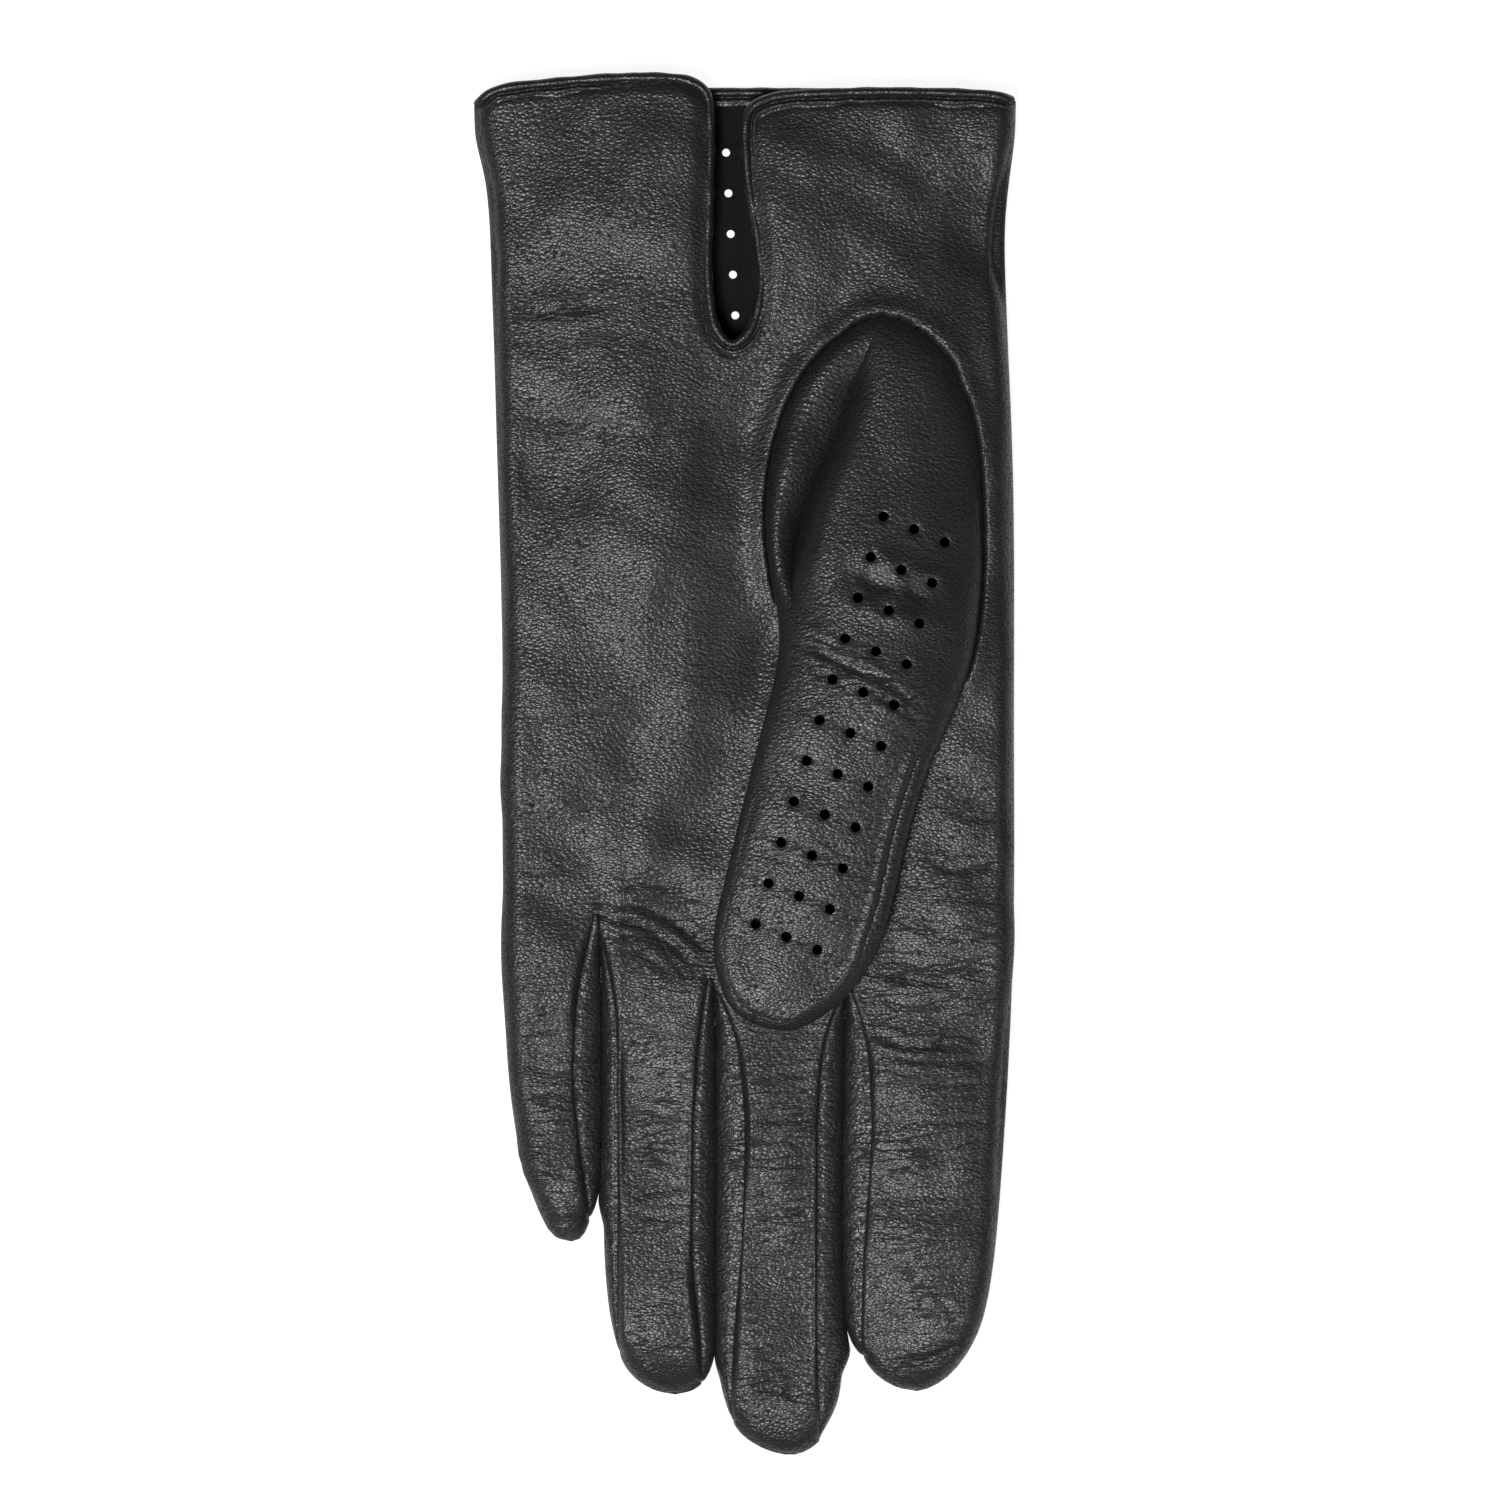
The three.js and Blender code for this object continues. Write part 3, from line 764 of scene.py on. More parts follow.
def folded_columns(left, right, fold_left, fold_right, cols):
    """Columns across a strip. A folded side follows a quarter circle, so its columns stay evenly spaced.
    Returns x, the height share in the fold (1 on the flat) and the distances to both edges."""
    radius = np.minimum(FOLD_RADIUS, 0.42 * (right - left))[:, None]
    left, right = left[:, None], right[:, None]
    arc = radius * math.pi / 2
    full = (right - left) + (arc - radius) * (fold_left + fold_right)
    s = np.linspace(0, 1, cols)[None, :] * full
    x = left + s - (arc - radius) * fold_left
    share = np.ones_like(x)
    for fold, edge, inwards, along in ((fold_left, left, 1, s), (fold_right, right, -1, full - s)):
        if fold:
            angle = np.clip(along / radius, 0, math.pi / 2)
            x = np.where(along < arc, edge + inwards * radius * (1 - np.cos(angle)), x)
            share = np.where(along < arc, np.sin(angle), share)
    return x, share, x - left, right - x


def seam_strength(finger, side, y):
    """How much of a seam there is on one side of a strip: none above the web, full below it."""
    web = web_beside(finger, side)
    if web is None:
        return np.zeros_like(y)
    return smoothstep((web.apex + 2.0 - y) / 9.0)


def gusset_end(finger, side):
    """The y of the fingertip end of a gusset, or None where the finger has none."""
    web = web_beside(finger, side)
    return low(web.gusset(side))[1] if web else None


def seam_height(finger, side, y):
    """Share of the half height that a strip's seam keeps: it falls to none where its gusset ends."""
    end = gusset_end(finger, side)
    if end is None:
        return np.ones_like(y)
    return quarter((y - end) / 7.0)


def tip_share(finger, y):
    """Share of a finger's height at each y: it closes to none at the tip."""
    return quarter((y - TIP_Y[finger]) / TIP_LENGTH)


def seam_z(finger, side, y, up):
    """Height of the seam on one side of a strip, on the palm side (up = 1) or on the back (up = -1)."""
    half = HAND_MID - SEAM_ROLL * seam_strength(finger, side, y)
    return HAND_MID + up * half * seam_height(finger, side, y) * tip_share(finger, y)


def strip_seams(finger, rows, from_left, from_right):
    """What the seams on both sides do to a strip: how much of a seam there is, how far the strip rolls down
    into it, the share of the height that is left where a gusset ends, and a mask that fades the relief."""
    seams, roll, kept, mask = 0.0, 0.0, 1.0, 1.0
    for side, distance in ((-1, from_left), (1, from_right)):
        strength = seam_strength(finger, side, rows)
        height = seam_height(finger, side, rows)
        seams = seams + strength
        roll = roll + strength * SEAM_ROLL * (1 - quarter(distance / SEAM_ROLL_WIDTH))
        kept = kept * (height + (1 - height) * quarter(distance / 4.0))
        mask = mask * (1 - strength * (1 - smoothstep(distance / 1.3)))
    return seams, roll, kept, mask


def strip_relief(finger, x, rows, up):
    """Relief of a strip's leather: the back, which lies flat, has hardly any."""
    if up < 0:
        return 0.06 * SWELL(x + 90, rows)
    creased = (rows < KNUCKLE[finger] + 16) & (rows > TIP_Y[finger] + 3)
    return palm_relief(x, rows) + np.where(creased, finger_relief(finger, x, rows), 0) - RELIEF_SETTLE


def strip_grid(finger, y, up, cols):
    """Points of one strip: a finger's front or back, or the part of the palm or back above it."""
    folds = [0.0 if web_beside(finger, side) else 1.0 for side in (-1, 1)]
    left, right = strip_edges(finger, y)
    x, share, from_left, from_right = folded_columns(left, right, *folds, cols)
    rows = np.broadcast_to(y[:, None], x.shape)
    tip = tip_share(finger, rows)
    seams, roll, kept, mask = strip_seams(finger, y[:, None], from_left, from_right)
    half = (HAND_MID - roll) * kept * tip
    if up > 0:
        width = np.maximum(right - left, 1.0)[:, None]
        middle = np.clip(4 * from_left * from_right / width ** 2, 0, 1)
        half = half - TIP_SINK * np.clip(seams, 0, 1) * middle * (1 - kept * tip)
    relief = strip_relief(finger, x, rows, up) * mask * smoothstep(share / 0.5) * smoothstep(tip / 0.6)
    lean = np.sqrt(np.clip(1 - share ** 2, 0, 1))
    outward = np.where(from_left < from_right, -1.0, 1.0)
    x = x + relief * lean * outward * (from_left + from_right > 8)
    raised = relief if up > 0 else 0.5 * np.abs(relief)
    return np.stack([x, rows, HAND_MID + up * half * share + raised * share], -1)


BINDING_SINK = 0.75  # how far the leather's edge sinks under the binding
OPENING_LIP = 1.0  # the leather stands up this much round the thumb's opening
OPENING_SINK = 2.6  # and lies this much lower inside it, under the thumb's base
VALLEY_DEPTH = 2.0  # of the valley along the thumb's left side
VALLEY_WIDTH = 9.0


def finish_palm(points, up):
    """Stretches the upper rows to the cuff edge. On the palm side it also sinks the edges under the binding,
    raises a lip round the thumb's opening and sinks a valley along the thumb's left side."""
    x, y, z = points[..., 0], points[..., 1].copy(), points[..., 2]
    edge = cuff_edge(x, up)
    y = np.where(y > WARP_FROM, WARP_FROM + (y - WARP_FROM) * (edge - WARP_FROM) / (CUFF_Y - WARP_FROM), y)
    if up < 0:
        return np.stack([x, y, z + 0.8 * bell(edge - y, 1.6)], -1)
    gap = np.full(x.shape, FAR)
    upper = y > WARP_FROM - 2
    gap[upper] = nearest(np.stack([x[upper], y[upper]], 1), CUFF_ROUTE[::2])[0]
    fold = smoothstep((z - HAND_MID) / 2)
    z = z - BINDING_SINK * (1 - smoothstep(gap / 3.4)) * fold
    outside = thumb_distance(x, y)
    u, v = thumb_uv(x, y)
    lip = bell(np.clip(outside - 0.6, 0, None), 2.6) * smoothstep((v - 1) / 10)
    z = z + OPENING_LIP * lip * (outside > -5)
    z = z - OPENING_SINK * smoothstep((0.5 - outside) / 1.0) * smoothstep((v - 4) / 5)
    valley = bell(outside - 3, VALLEY_WIDTH) * smoothstep((52 - y) / 30) * smoothstep((y + 42) / 12)
    z = z - VALLEY_DEPTH * valley * smoothstep((2 - u) / 8) * fold
    return np.stack([x, y, z], -1)


STRIP_COLS = {"little": 44, "ring": 44, "middle": 54, "index": 70}


def hand_rows(finger, last):
    """Rows of the part of the hand above a finger, from its split line up."""
    first = SPLIT_Y[finger]
    return np.concatenate([[first], np.arange(math.ceil(first / STEP) * STEP, last, STEP)[1:]])


def distal_rows(finger, tip, closing, count):
    """Rows from a tip up to the split line, closer together over the length where the tip closes."""
    round_part = tip + closing * (1 - np.cos(np.linspace(0.0, math.pi / 2, count)))
    straight = np.arange(tip + closing + STEP, SPLIT_Y[finger], STEP)
    return np.concatenate([round_part, straight, [SPLIT_Y[finger]]])


def blend_finger(piece):
    """Bakes the piece's transform into its mesh."""
    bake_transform(piece)


def build_palm():
    """The palm side of the main leather down to the split lines, open where the thumb is set in."""
    grids = []
    for finger in FINGERS:
        rows = np.append(hand_rows(finger, CUFF_Y), CUFF_Y)
        grids.append(finish_palm(strip_grid(finger, rows, 1, STRIP_COLS[finger]), 1))
    points, faces = joined(grids)
    centres = np.array([points[face].mean(0) for face in faces])
    inside = thumb_distance(centres[:, 0], centres[:, 1])
    _, v = thumb_uv(centres[:, 0], centres[:, 1])
    opening = (inside < -1.6) & (v > 10.0)
    faces = [face for face, cut in zip(faces, opening) if not cut]
    piece = make_piece("palm", points, faces, LEATHER_MAIN)
    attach(piece, "hand")
    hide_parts("palm_panel")


def build_finger_strips(finger):
    """The front and the back of one finger."""
    rows = distal_rows(finger, TIP_Y[finger], TIP_LENGTH, 30)
    for up, side in ((1, "front"), (-1, "back")):
        grid = strip_grid(finger, rows, up, STRIP_COLS[finger])
        points, faces = joined([grid])
        thickness = LEATHER * smoothstep((points[:, 1] - TIP_Y[finger]) / 5)
        piece = make_piece(f"{finger}_{side}_strip", points, faces, LEATHER_MAIN, thickness, up < 0)
        blend_finger(piece)
        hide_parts(f"{finger}_{side}")


# ---- Gussets between the fingers ----

GUSSET_PLEATS = Ripple(41, 2.6, stretch=(1.0, 2.2))
PLEAT_DEPTH = 0.14
GUSSET_ROLL = 0.35  # how far a gusset's edge rolls down into its seam
GUSSET_REACH = 1.7  # the most that a gusset is let out towards the next finger's
GUSSET_OVERLAP = 0.15


def gusset_edge(finger, side, y):
    """The outermost x of a finger on a side that has a gusset."""
    web = web_beside(finger, side)
    if y > KNUCKLE[finger]:
        return web.slot(max(y, KNUCKLE[finger] + 0.2), -side)
    u = GUSSET_SLICER[web.gusset(side)].crossings(max(y, gusset_end(finger, side) + 0.05))
    if not len(u):
        return strip_edge(finger, side, y)
    return u.max() if side > 0 else u.min()


def gusset_table(finger, side):
    """The gusset's outermost line, let out until it presses against the next finger's gusset."""
    web = web_beside(finger, side)
    y = np.arange(gusset_end(finger, side), web.apex + TABLE_STEP, TABLE_STEP)
    edge = np.array([gusset_edge(finger, side, value) for value in y])
    edge = smoothed(edge, y, 1.6, [web.slot_top, gusset_end(finger, side)])
    other = web.beyond(side)
    facing = np.array([gusset_edge(other, -side, max(value, gusset_end(other, -side))) for value in y])
    facing = smoothed(facing, y, 1.6)
    room = np.abs(facing - edge) / 2 + GUSSET_OVERLAP
    beside = smoothstep((y - TIP_Y[other] - 2) / 6)
    return y, edge + side * np.clip(room, 0, GUSSET_REACH) * beside


def gusset_grid(finger, side, y, angles):
    """Points of a gusset: it bulges from the palm-side seam out to the finger's edge and back underneath."""
    web = web_beside(finger, side)
    seam = strip_edges(finger, y)[1 if side > 0 else 0]
    stations, table = GUSSET_TABLE[finger, side]
    edge = np.interp(y, stations, table)
    edge = seam + (edge - seam) * quarter((y - gusset_end(finger, side)) / 8)
    top, bottom = (seam_z(finger, side, y, up) for up in (1, -1))
    lift = 0.9 * smoothstep((y - web.slot_top) / (web.apex - web.slot_top))
    lift = np.where(y > web.slot_top, lift, 0.0)
    phi = angles[None, :]
    limit = np.where(np.cos(phi) >= 0, top[:, None], bottom[:, None])
    heart = HAND_MID + (limit - HAND_MID) * lift[:, None]
    z = heart + (limit - heart) * np.abs(np.cos(phi))
    x = seam[:, None] + (edge - seam)[:, None] * np.sin(phi)
    wide = np.clip(np.abs(edge - seam) / 3.0, 0, 1)[:, None]
    inside = np.sin(phi) * wide
    rows = np.broadcast_to(y[:, None], x.shape)
    fade = inside * (1 - np.sin(phi) ** 4) * (1 - lift[:, None])
    x = x + side * PLEAT_DEPTH * GUSSET_PLEATS(rows, z * 1.2 + x) * fade
    arc = np.minimum(phi, math.pi - phi) * np.maximum(np.abs(edge - seam)[:, None], 1.2)
    z = z - np.sign(np.cos(phi)) * GUSSET_ROLL * bell(arc, 0.5) * wide * (arc > 1e-6)
    return np.stack([x, rows, z], -1)


GUSSET_TABLE = {(web.beyond(-side), side): gusset_table(web.beyond(-side), side)
                for web in WEB.values() for side in (1, -1)}
TOP_ANGLES = np.linspace(0, math.pi / 2, 16)
BOTTOM_ANGLES = np.linspace(math.pi / 2, math.pi, 16)
ROUND_ANGLES = np.linspace(0, math.pi, 31)


def build_web(web):
    """The part of a pair of gussets that lies in the hand, joined at the web."""
    grids = []
    for finger, side in ((web.left, 1), (web.right, -1)):
        y = hand_rows(finger, web.apex - 0.4)
        for angles in (TOP_ANGLES, BOTTOM_ANGLES):
            grid = gusset_grid(finger, side, y, angles)
            grids.append(grid if side > 0 else grid[:, ::-1])
    points, faces = joined(grids, 0.05)
    piece = make_piece(f"gusset_web_{web.left}_{web.right}", points, faces, LEATHER_GUSSET, 0.3)
    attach(piece, "hand")
    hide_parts(web.node)


def build_gusset(finger, side):
    """The part of a gusset that runs along a finger."""
    web = web_beside(finger, side)
    end = gusset_end(finger, side)
    y = distal_rows(finger, end, 5, 14)
    points, faces = joined([gusset_grid(finger, side, y, ROUND_ANGLES)])
    thickness = 0.45 * smoothstep((points[:, 1] - end) / 5)
    name = f"{finger}_gusset_{web.beyond(side)}_side"
    piece = make_piece(name, points, faces, LEATHER_GUSSET, thickness, side < 0)
    blend_finger(piece)
    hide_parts(web.gusset(side))


# ---- Sheets with holes ----

def grid_of_holes(first, row_step, column_step, rows):
    """Three columns of hole centres; the middle column starts at first."""
    first, row_step, column_step = (np.array(v, float) for v in (first, row_step, column_step))
    return np.array([first + row * row_step + column * column_step
                     for row in range(rows) for column in (-1, 0, 1)])


THUMB_HOLES = grid_of_holes((30.2, 41.9), (-2.28, -7.27), (5.49, -2.3), 11)
BACK_HOLES = grid_of_holes((-3.4, 110), (0.41, -7.32), (5.95, 0), 20)


def punched_triangles(outline, inner, holes, radius):
    """Triangles over a flat region with round holes. Returns the flat points and the triangles."""
    turn = np.linspace(0, 2 * math.pi, HOLE_SIDES, endpoint=False)
    ring = np.stack([np.cos(turn), np.sin(turn)], 1)
    inner = inner[nearest(inner, holes)[0] > radius + COLLAR + 0.27]
    rims = [hole + radius * ring for hole in holes]
    collars = [hole + (radius + COLLAR) * ring for hole in holes]
    flat = np.vstack([outline, *rims, *collars, inner])
    count = len(outline)
    loops = [(i, (i + 1) % count) for i in range(count)]
    for k in range(len(holes)):
        start = count + k * HOLE_SIDES
        loops += [(start + i, start + (i + 1) % HOLE_SIDES) for i in range(HOLE_SIDES)]
    found = delaunay_2d_cdt([Vector(p) for p in flat], loops, [], 1, 1e-5)
    points = np.array([tuple(p) for p in found[0]])
    faces = np.array([tuple(face) for face in found[2]])
    in_leather = nearest(points[faces].mean(1), holes)[0] > 0.98 * radius
    return points, faces[in_leather]


def rim_dip(x, y, holes, radius):
    """The leather is pressed down a little round each punched hole."""
    distance = nearest(np.stack([x, y], 1), holes)[0]
    return 0.16 * bell(distance - radius, 0.32)


BACK_STEP = 0.9


def back_loop(grids):
    """The back panel's edge: along the split lines and round the webs, up the side and along the cuff."""
    loop = []
    for finger, (grid, y) in zip(FINGERS, grids):
        left_web, right_web = web_beside(finger, -1), web_beside(finger, 1)
        if left_web is not None:
            loop += list(grid[y < left_web.apex, 0][::-1])
        split_rows = np.array([SPLIT_Y[finger] - 0.01, SPLIT_Y[finger]])
        loop += list(strip_grid(finger, split_rows, -1, STRIP_COLS[finger])[1])
        if right_web is not None:
            loop += list(grid[y < right_web.apex, -1])
    loop += list(grids[-1][0][1:, -1])
    for grid, _ in grids[::-1]:
        loop += list(grid[-1, ::-1])
    loop += list(grids[0][0][-2:0:-1, 0])
    return without_repeats(loop, 0.03)


def build_back():
    """The perforated back down to the split lines."""
    grids = []
    for finger in FINGERS:
        first = SPLIT_Y[finger]
        y = np.concatenate([[first], np.arange(math.ceil(first), CUFF_Y, BACK_STEP)[1:], [CUFF_Y]])
        columns = STRIP_COLS[finger] * 5 // 9
        grids.append((finish_palm(strip_grid(finger, y, -1, columns), -1), y))
    points, _ = joined([grid for grid, _ in grids], 0.05)
    loop = back_loop(grids)
    known = np.vstack([loop, points[nearest(points[:, :2], loop[:, :2])[0] > 0.12]])
    inner = known[len(loop):, :2]
    made, triangles = punched_triangles(loop[:, :2], inner, BACK_HOLES, BACK_HOLE_RADIUS)
    z = known[nearest(made, known[:, :2])[1], 2] + rim_dip(*made.T, BACK_HOLES, BACK_HOLE_RADIUS)
    piece = make_piece("back", np.column_stack([made, z]), triangles.tolist(), LEATHER_MAIN, flip=True)
    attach(piece, "hand")
    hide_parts("back_panel")


# ---- The thumb ----

THUMB_RIM = 1.8  # how far the front panel's edge turns over onto the top, round the left side and the tip
THUMB_SPLIT = 12.0  # the underside starts here
QUIRK_FROM = 9.0  # the quirk's width is read from the frame above this place
QUIRK_CUT = Slicer(["thumb_quirk"], THUMB_ORIGIN, THUMB_ALONG)
STRIP_CUT = Slicer(["thumb_side_strip"], THUMB_ORIGIN, THUMB_ALONG)
PANEL_COLUMNS = 64


def station(v):
    """The row of THUMB_V closest to a place along the thumb."""
    return THUMB_V[np.argmin(np.abs(THUMB_V - v))]


STRIP_START = station(STRIP_CUT.v.max())
STRIP_END = station(STRIP_CUT.v.min() + 1)
QUIRK_START = station(-2)


def left_inset():
    """Distance from the thumb's left outline to the panel's seam, at THUMB_V."""
    quirk_end = float(QUIRK_CUT.v.max())
    cuts = [QUIRK_CUT.crossings(min(v, quirk_end - 1.0)) for v in THUMB_V[THUMB_V > QUIRK_FROM]]
    widths = [max(u.max() - u.min(), 0.5) for u in cuts]
    below = np.count_nonzero(THUMB_V <= QUIRK_FROM)
    found = smoothed(np.array([widths[0]] * below + widths), THUMB_V, 2.0)
    return mix(THUMB_RIM, found, smoothstep((THUMB_V + 10) / 24))


def right_inset():
    """Distance from the thumb's right outline to the side strip's seam, or nearly none above the strip."""
    middle = STRIP_CUT.crossings((STRIP_START + STRIP_END) / 2)
    width = middle.max() - middle.min()
    inset = mix(width, 0.05, smoothstep((THUMB_V - STRIP_START + 12) / 12))
    return mix(THUMB_RIM, inset, smoothstep((THUMB_V - STRIP_END) / 8))


LEFT_INSET = np.minimum(left_inset(), 0.7 * (THUMB_HI - THUMB_LO))
RIGHT_INSET = right_inset()


def inset_curve(side):
    """Points of the panel's seam on one side, from the wrist end to the tip, moved in from the outline."""
    edge = THUMB_LO if side < 0 else THUMB_HI
    inset = LEFT_INSET if side < 0 else RIGHT_INSET
    slope = np.gradient(edge, THUMB_V)
    round_tip = 1 - smoothstep((THUMB_V - THUMB_TIP_V - TIP_LENGTH) / 4)
    length = np.sqrt(1 + slope ** 2)
    du = mix(1.0, 1 / length, round_tip) * -side
    dv = mix(0.0, slope / length, round_tip) * side
    return np.stack([edge + inset * du, THUMB_V + inset * dv], -1)[::-1]


LEFT_SEAM = inset_curve(-1)
RIGHT_SEAM = inset_curve(1)


def edge_height(v):
    """Height of the thumb's widest line: low where it leaves the palm, half way up along the stall."""
    above = mix(THUMB_MID, HAND_TOP + 0.7, smoothstep((v + 20) / 28))
    return mix(above, HAND_TOP - 1.1, smoothstep((v - 8) / 14))


def top_height(v):
    """Height of the crown of the thumb, over the palm and along the stall."""
    base = mix(THUMB_TOP, HAND_TOP + 2.2, smoothstep((v + 6) / (THUMB_WRIST_V + 10)))
    return np.where(v > -6, base, THUMB_TOP) - 0.7 * smoothstep((-v - 25) / 35)


def seam_distance(u, v, seam):
    """Distance to a seam, measured flat on the thumb."""
    return nearest(np.stack([u.ravel(), v.ravel()], 1), seam)[0].reshape(u.shape)


def thumb_quirk(u, v, lo, edge, dome, near_left):
    """The dome with the quirk's roll along its left side and the panel's shoulder rising from their seam."""
    inset = np.interp(v, THUMB_V, LEFT_INSET)
    across = np.clip((u - lo) / np.maximum(inset, 0.3), 0, 1)
    seam = mix(HAND_TOP - 0.5, HAND_TOP - 0.9, smoothstep((v - 20) / 35))
    ridge = mix(HAND_TOP + 3.2, HAND_TOP + 1.9, smoothstep((v - 12) / 40))
    climb = edge + (ridge - edge) * quarter(across / 0.38)
    roll = mix(climb, seam, np.clip((across - 0.34) / 0.66, 0, 1) ** 2)
    shoulder = seam + (dome - seam) * quarter(near_left / 5.0)
    in_quirk = smoothstep((v - 3) / 15) * smoothstep((THUMB_WRIST_V - 3 - v) / 14)
    return mix(dome, np.where(u < lo + inset, roll, shoulder), in_quirk * (dome > seam))


def thumb_seams(u, v, lo, hi, near_left, near_right, strip):
    """Depth of the grooves in the panel's seams, and height of the ridges beside them and at the tip."""
    at_tip = smoothstep((-v - 30) / 22)
    groove = 0.06 * smoothstep((2 - v) / 4) * bell(near_left, 0.5)
    groove = groove + 0.5 * strip * (1 - at_tip) * bell(near_right, 0.5)
    ridge = 0.35 * strip * bell(near_right - 1.1, 0.8) * (u < hi - 2)
    rim = 0.15 * bell(np.minimum(near_left, near_right) - 0.3, 0.8)
    hollow = 0.45 * bell(near_left - 4.2, 2.0) * smoothstep((lo + hi - 2 * u) / 10)
    return groove, ridge + at_tip * (rim - hollow)


def thumb_top(u, v):
    """Height of the thumb's upper surface: a domed panel, the quirk's roll on its left, and the seams."""
    lo, hi = np.interp(v, THUMB_V, THUMB_LO), np.interp(v, THUMB_V, THUMB_HI)
    rho = np.clip(np.abs(2 * (u - lo) / np.maximum(hi - lo, 0.01) - 1), 0, 1)
    power = mix(2.5, 2.1, smoothstep((v + 10) / 20))
    share = (1 - rho ** power) ** (1 / power)
    ends = quarter((v - THUMB_TIP_V) / TIP_LENGTH) * quarter((THUMB_WRIST_V - v) / 14)
    edge = edge_height(v)
    dome = edge + (top_height(v) - edge) * share * ends

    near_left = seam_distance(u, v, LEFT_SEAM)
    near_right = seam_distance(u, v, RIGHT_SEAM)
    strip = smoothstep((STRIP_START - 4 - v) / 8)
    z = thumb_quirk(u, v, lo, edge, dome, near_left)
    groove, ridge = thumb_seams(u, v, lo, hi, near_left, near_right, strip)
    relief = thumb_relief(u, v) * smoothstep(share / 0.6) * smoothstep(ends / 0.6)
    relief = relief * (1 - bell(np.minimum(near_left, near_right), 0.8) * strip)
    return z - np.minimum(groove, 0.7 * np.maximum(z - edge, 0)) + ridge * ends + relief


THUMB_CREASES = [
    # the trough where the stall rises out of the base, then the creases across its root
    ([(-13, 14.5), (-4, 15.0), (4, 15.8), (10, 16.5)], 0.75, 2.4),
    ([(-16, -0.2), (-9, -0.3), (-3.3, -0.5), (5, -1.2), (13, -2.8)], 0.5, 0.9),
    ([(-15, 1.8), (-8, 1.6), (-2, 1.4)], 0.3, 0.7),
    ([(-2, -2.6), (6, -3.6), (13.5, -5.4)], 0.3, 0.8),
    ([(-10, -36), (-3, -37), (5, -36)], 0.12, 0.9),
    ([(3, -30), (8, -31.5), (12, -31)], 0.12, 0.8),
]


def thumb_relief(u, v):
    """Displacement of the perforated panel's leather."""
    out = 0.06 * DIMPLE(u + 55, v) + 0.12 * SWELL(u - 40, v)
    for points, depth, width in THUMB_CREASES:
        out = out + crease(u.ravel(), v.ravel(), points, depth, width).reshape(u.shape)
    return out


def thumb_point(u, v, z):
    return np.concatenate([thumb_xy(u, v), z[..., None]], -1)


def edge_band(v_from, v_to, side, columns=10):
    """The band of the top surface between the thumb's outline and the panel's seam, on one side."""
    keep = (THUMB_V <= v_from) & (THUMB_V >= v_to)
    edge = (THUMB_LO if side < 0 else THUMB_HI)[keep][::-1]
    v = THUMB_V[keep][::-1]
    seam = (LEFT_SEAM if side < 0 else RIGHT_SEAM)[keep[::-1]]
    share = (1 - np.cos(np.linspace(0, math.pi / 2, columns)))[None, :]
    u = edge[:, None] + (seam[:, :1] - edge[:, None]) * share
    w = v[:, None] + (seam[:, 1:] - v[:, None]) * share
    return thumb_point(u, w, thumb_top(u, w))


def under_grid(v_from):
    """The underside of the stall, from its left outline round to the right."""
    v = THUMB_V[THUMB_V <= v_from][::-1]
    lo, hi = THUMB_LO[THUMB_V <= v_from][::-1], THUMB_HI[THUMB_V <= v_from][::-1]
    angle = np.linspace(0, math.pi, 40)[None, :]
    power = 2.6
    across = -np.sign(np.cos(angle)) * np.abs(np.cos(angle)) ** (2 / power)
    share = np.abs(np.sin(angle)) ** (2 / power) * quarter((v - THUMB_TIP_V) / TIP_LENGTH)[:, None]
    u = ((lo + hi) / 2)[:, None] + ((hi - lo) / 2)[:, None] * across
    v = np.broadcast_to(v[:, None], u.shape)
    bottom = mix(THUMB_LOW + 0.35, 6.0, smoothstep((v + 5) / 12))
    z = edge_height(v) + (bottom - edge_height(v)) * share
    return thumb_point(u, v, z)


def blend_thumb(piece):
    """Bakes the piece's transform into its mesh."""
    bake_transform(piece)


def build_thumb_panel():
    """The perforated panel that runs from the thumb's base on the palm to its tip."""
    loop = without_repeats(np.vstack([LEFT_SEAM, RIGHT_SEAM[::-1]]), 0.12)
    rows = np.arange(THUMB_TIP_V + THUMB_RIM + 0.6, THUMB_WRIST_V - 0.4, STEP)
    lo = np.interp(rows, LEFT_SEAM[::-1, 1], LEFT_SEAM[::-1, 0])
    hi = np.interp(rows, RIGHT_SEAM[::-1, 1], RIGHT_SEAM[::-1, 0])
    across = 0.5 + 0.5 * np.sin(np.linspace(-math.pi / 2, math.pi / 2, PANEL_COLUMNS))[1:-1]
    across = mix(across, np.linspace(0, 1, PANEL_COLUMNS)[1:-1], 0.55)
    u = lo[:, None] + (hi - lo)[:, None] * across[None, :]
    v = np.broadcast_to(rows[:, None], u.shape)
    inner = np.stack([u.ravel(), v.ravel()], 1)
    inner = inner[nearest(inner, loop)[0] > 0.2]
    holes = np.stack(thumb_uv(THUMB_HOLES[:, 0], THUMB_HOLES[:, 1]), 1)
    made, triangles = punched_triangles(loop, inner, holes, THUMB_HOLE_RADIUS)
    u, v = made.T
    points = thumb_point(u, v, thumb_top(u, v) - rim_dip(u, v, holes, THUMB_HOLE_RADIUS))
    beside_row = np.abs(v[:, None] - holes[None, 1::3, 1]).min(1)
    # creasing of the panel: its wrinkle lines are bumped in and painted dark as shade
    wear = bell(v + 1.5, 5) + 0.25 * bell(v + 36, 12) + 0.5 * bell(beside_row, 0.9) * (v < 8)
    wear = np.clip(wear, 0, 1)
    piece = make_piece("thumb_perforated_panel", points, triangles.tolist(), LEATHER_MAIN, wear=wear)
    blend_thumb(piece)
    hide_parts("thumb_base", "thumb_back")


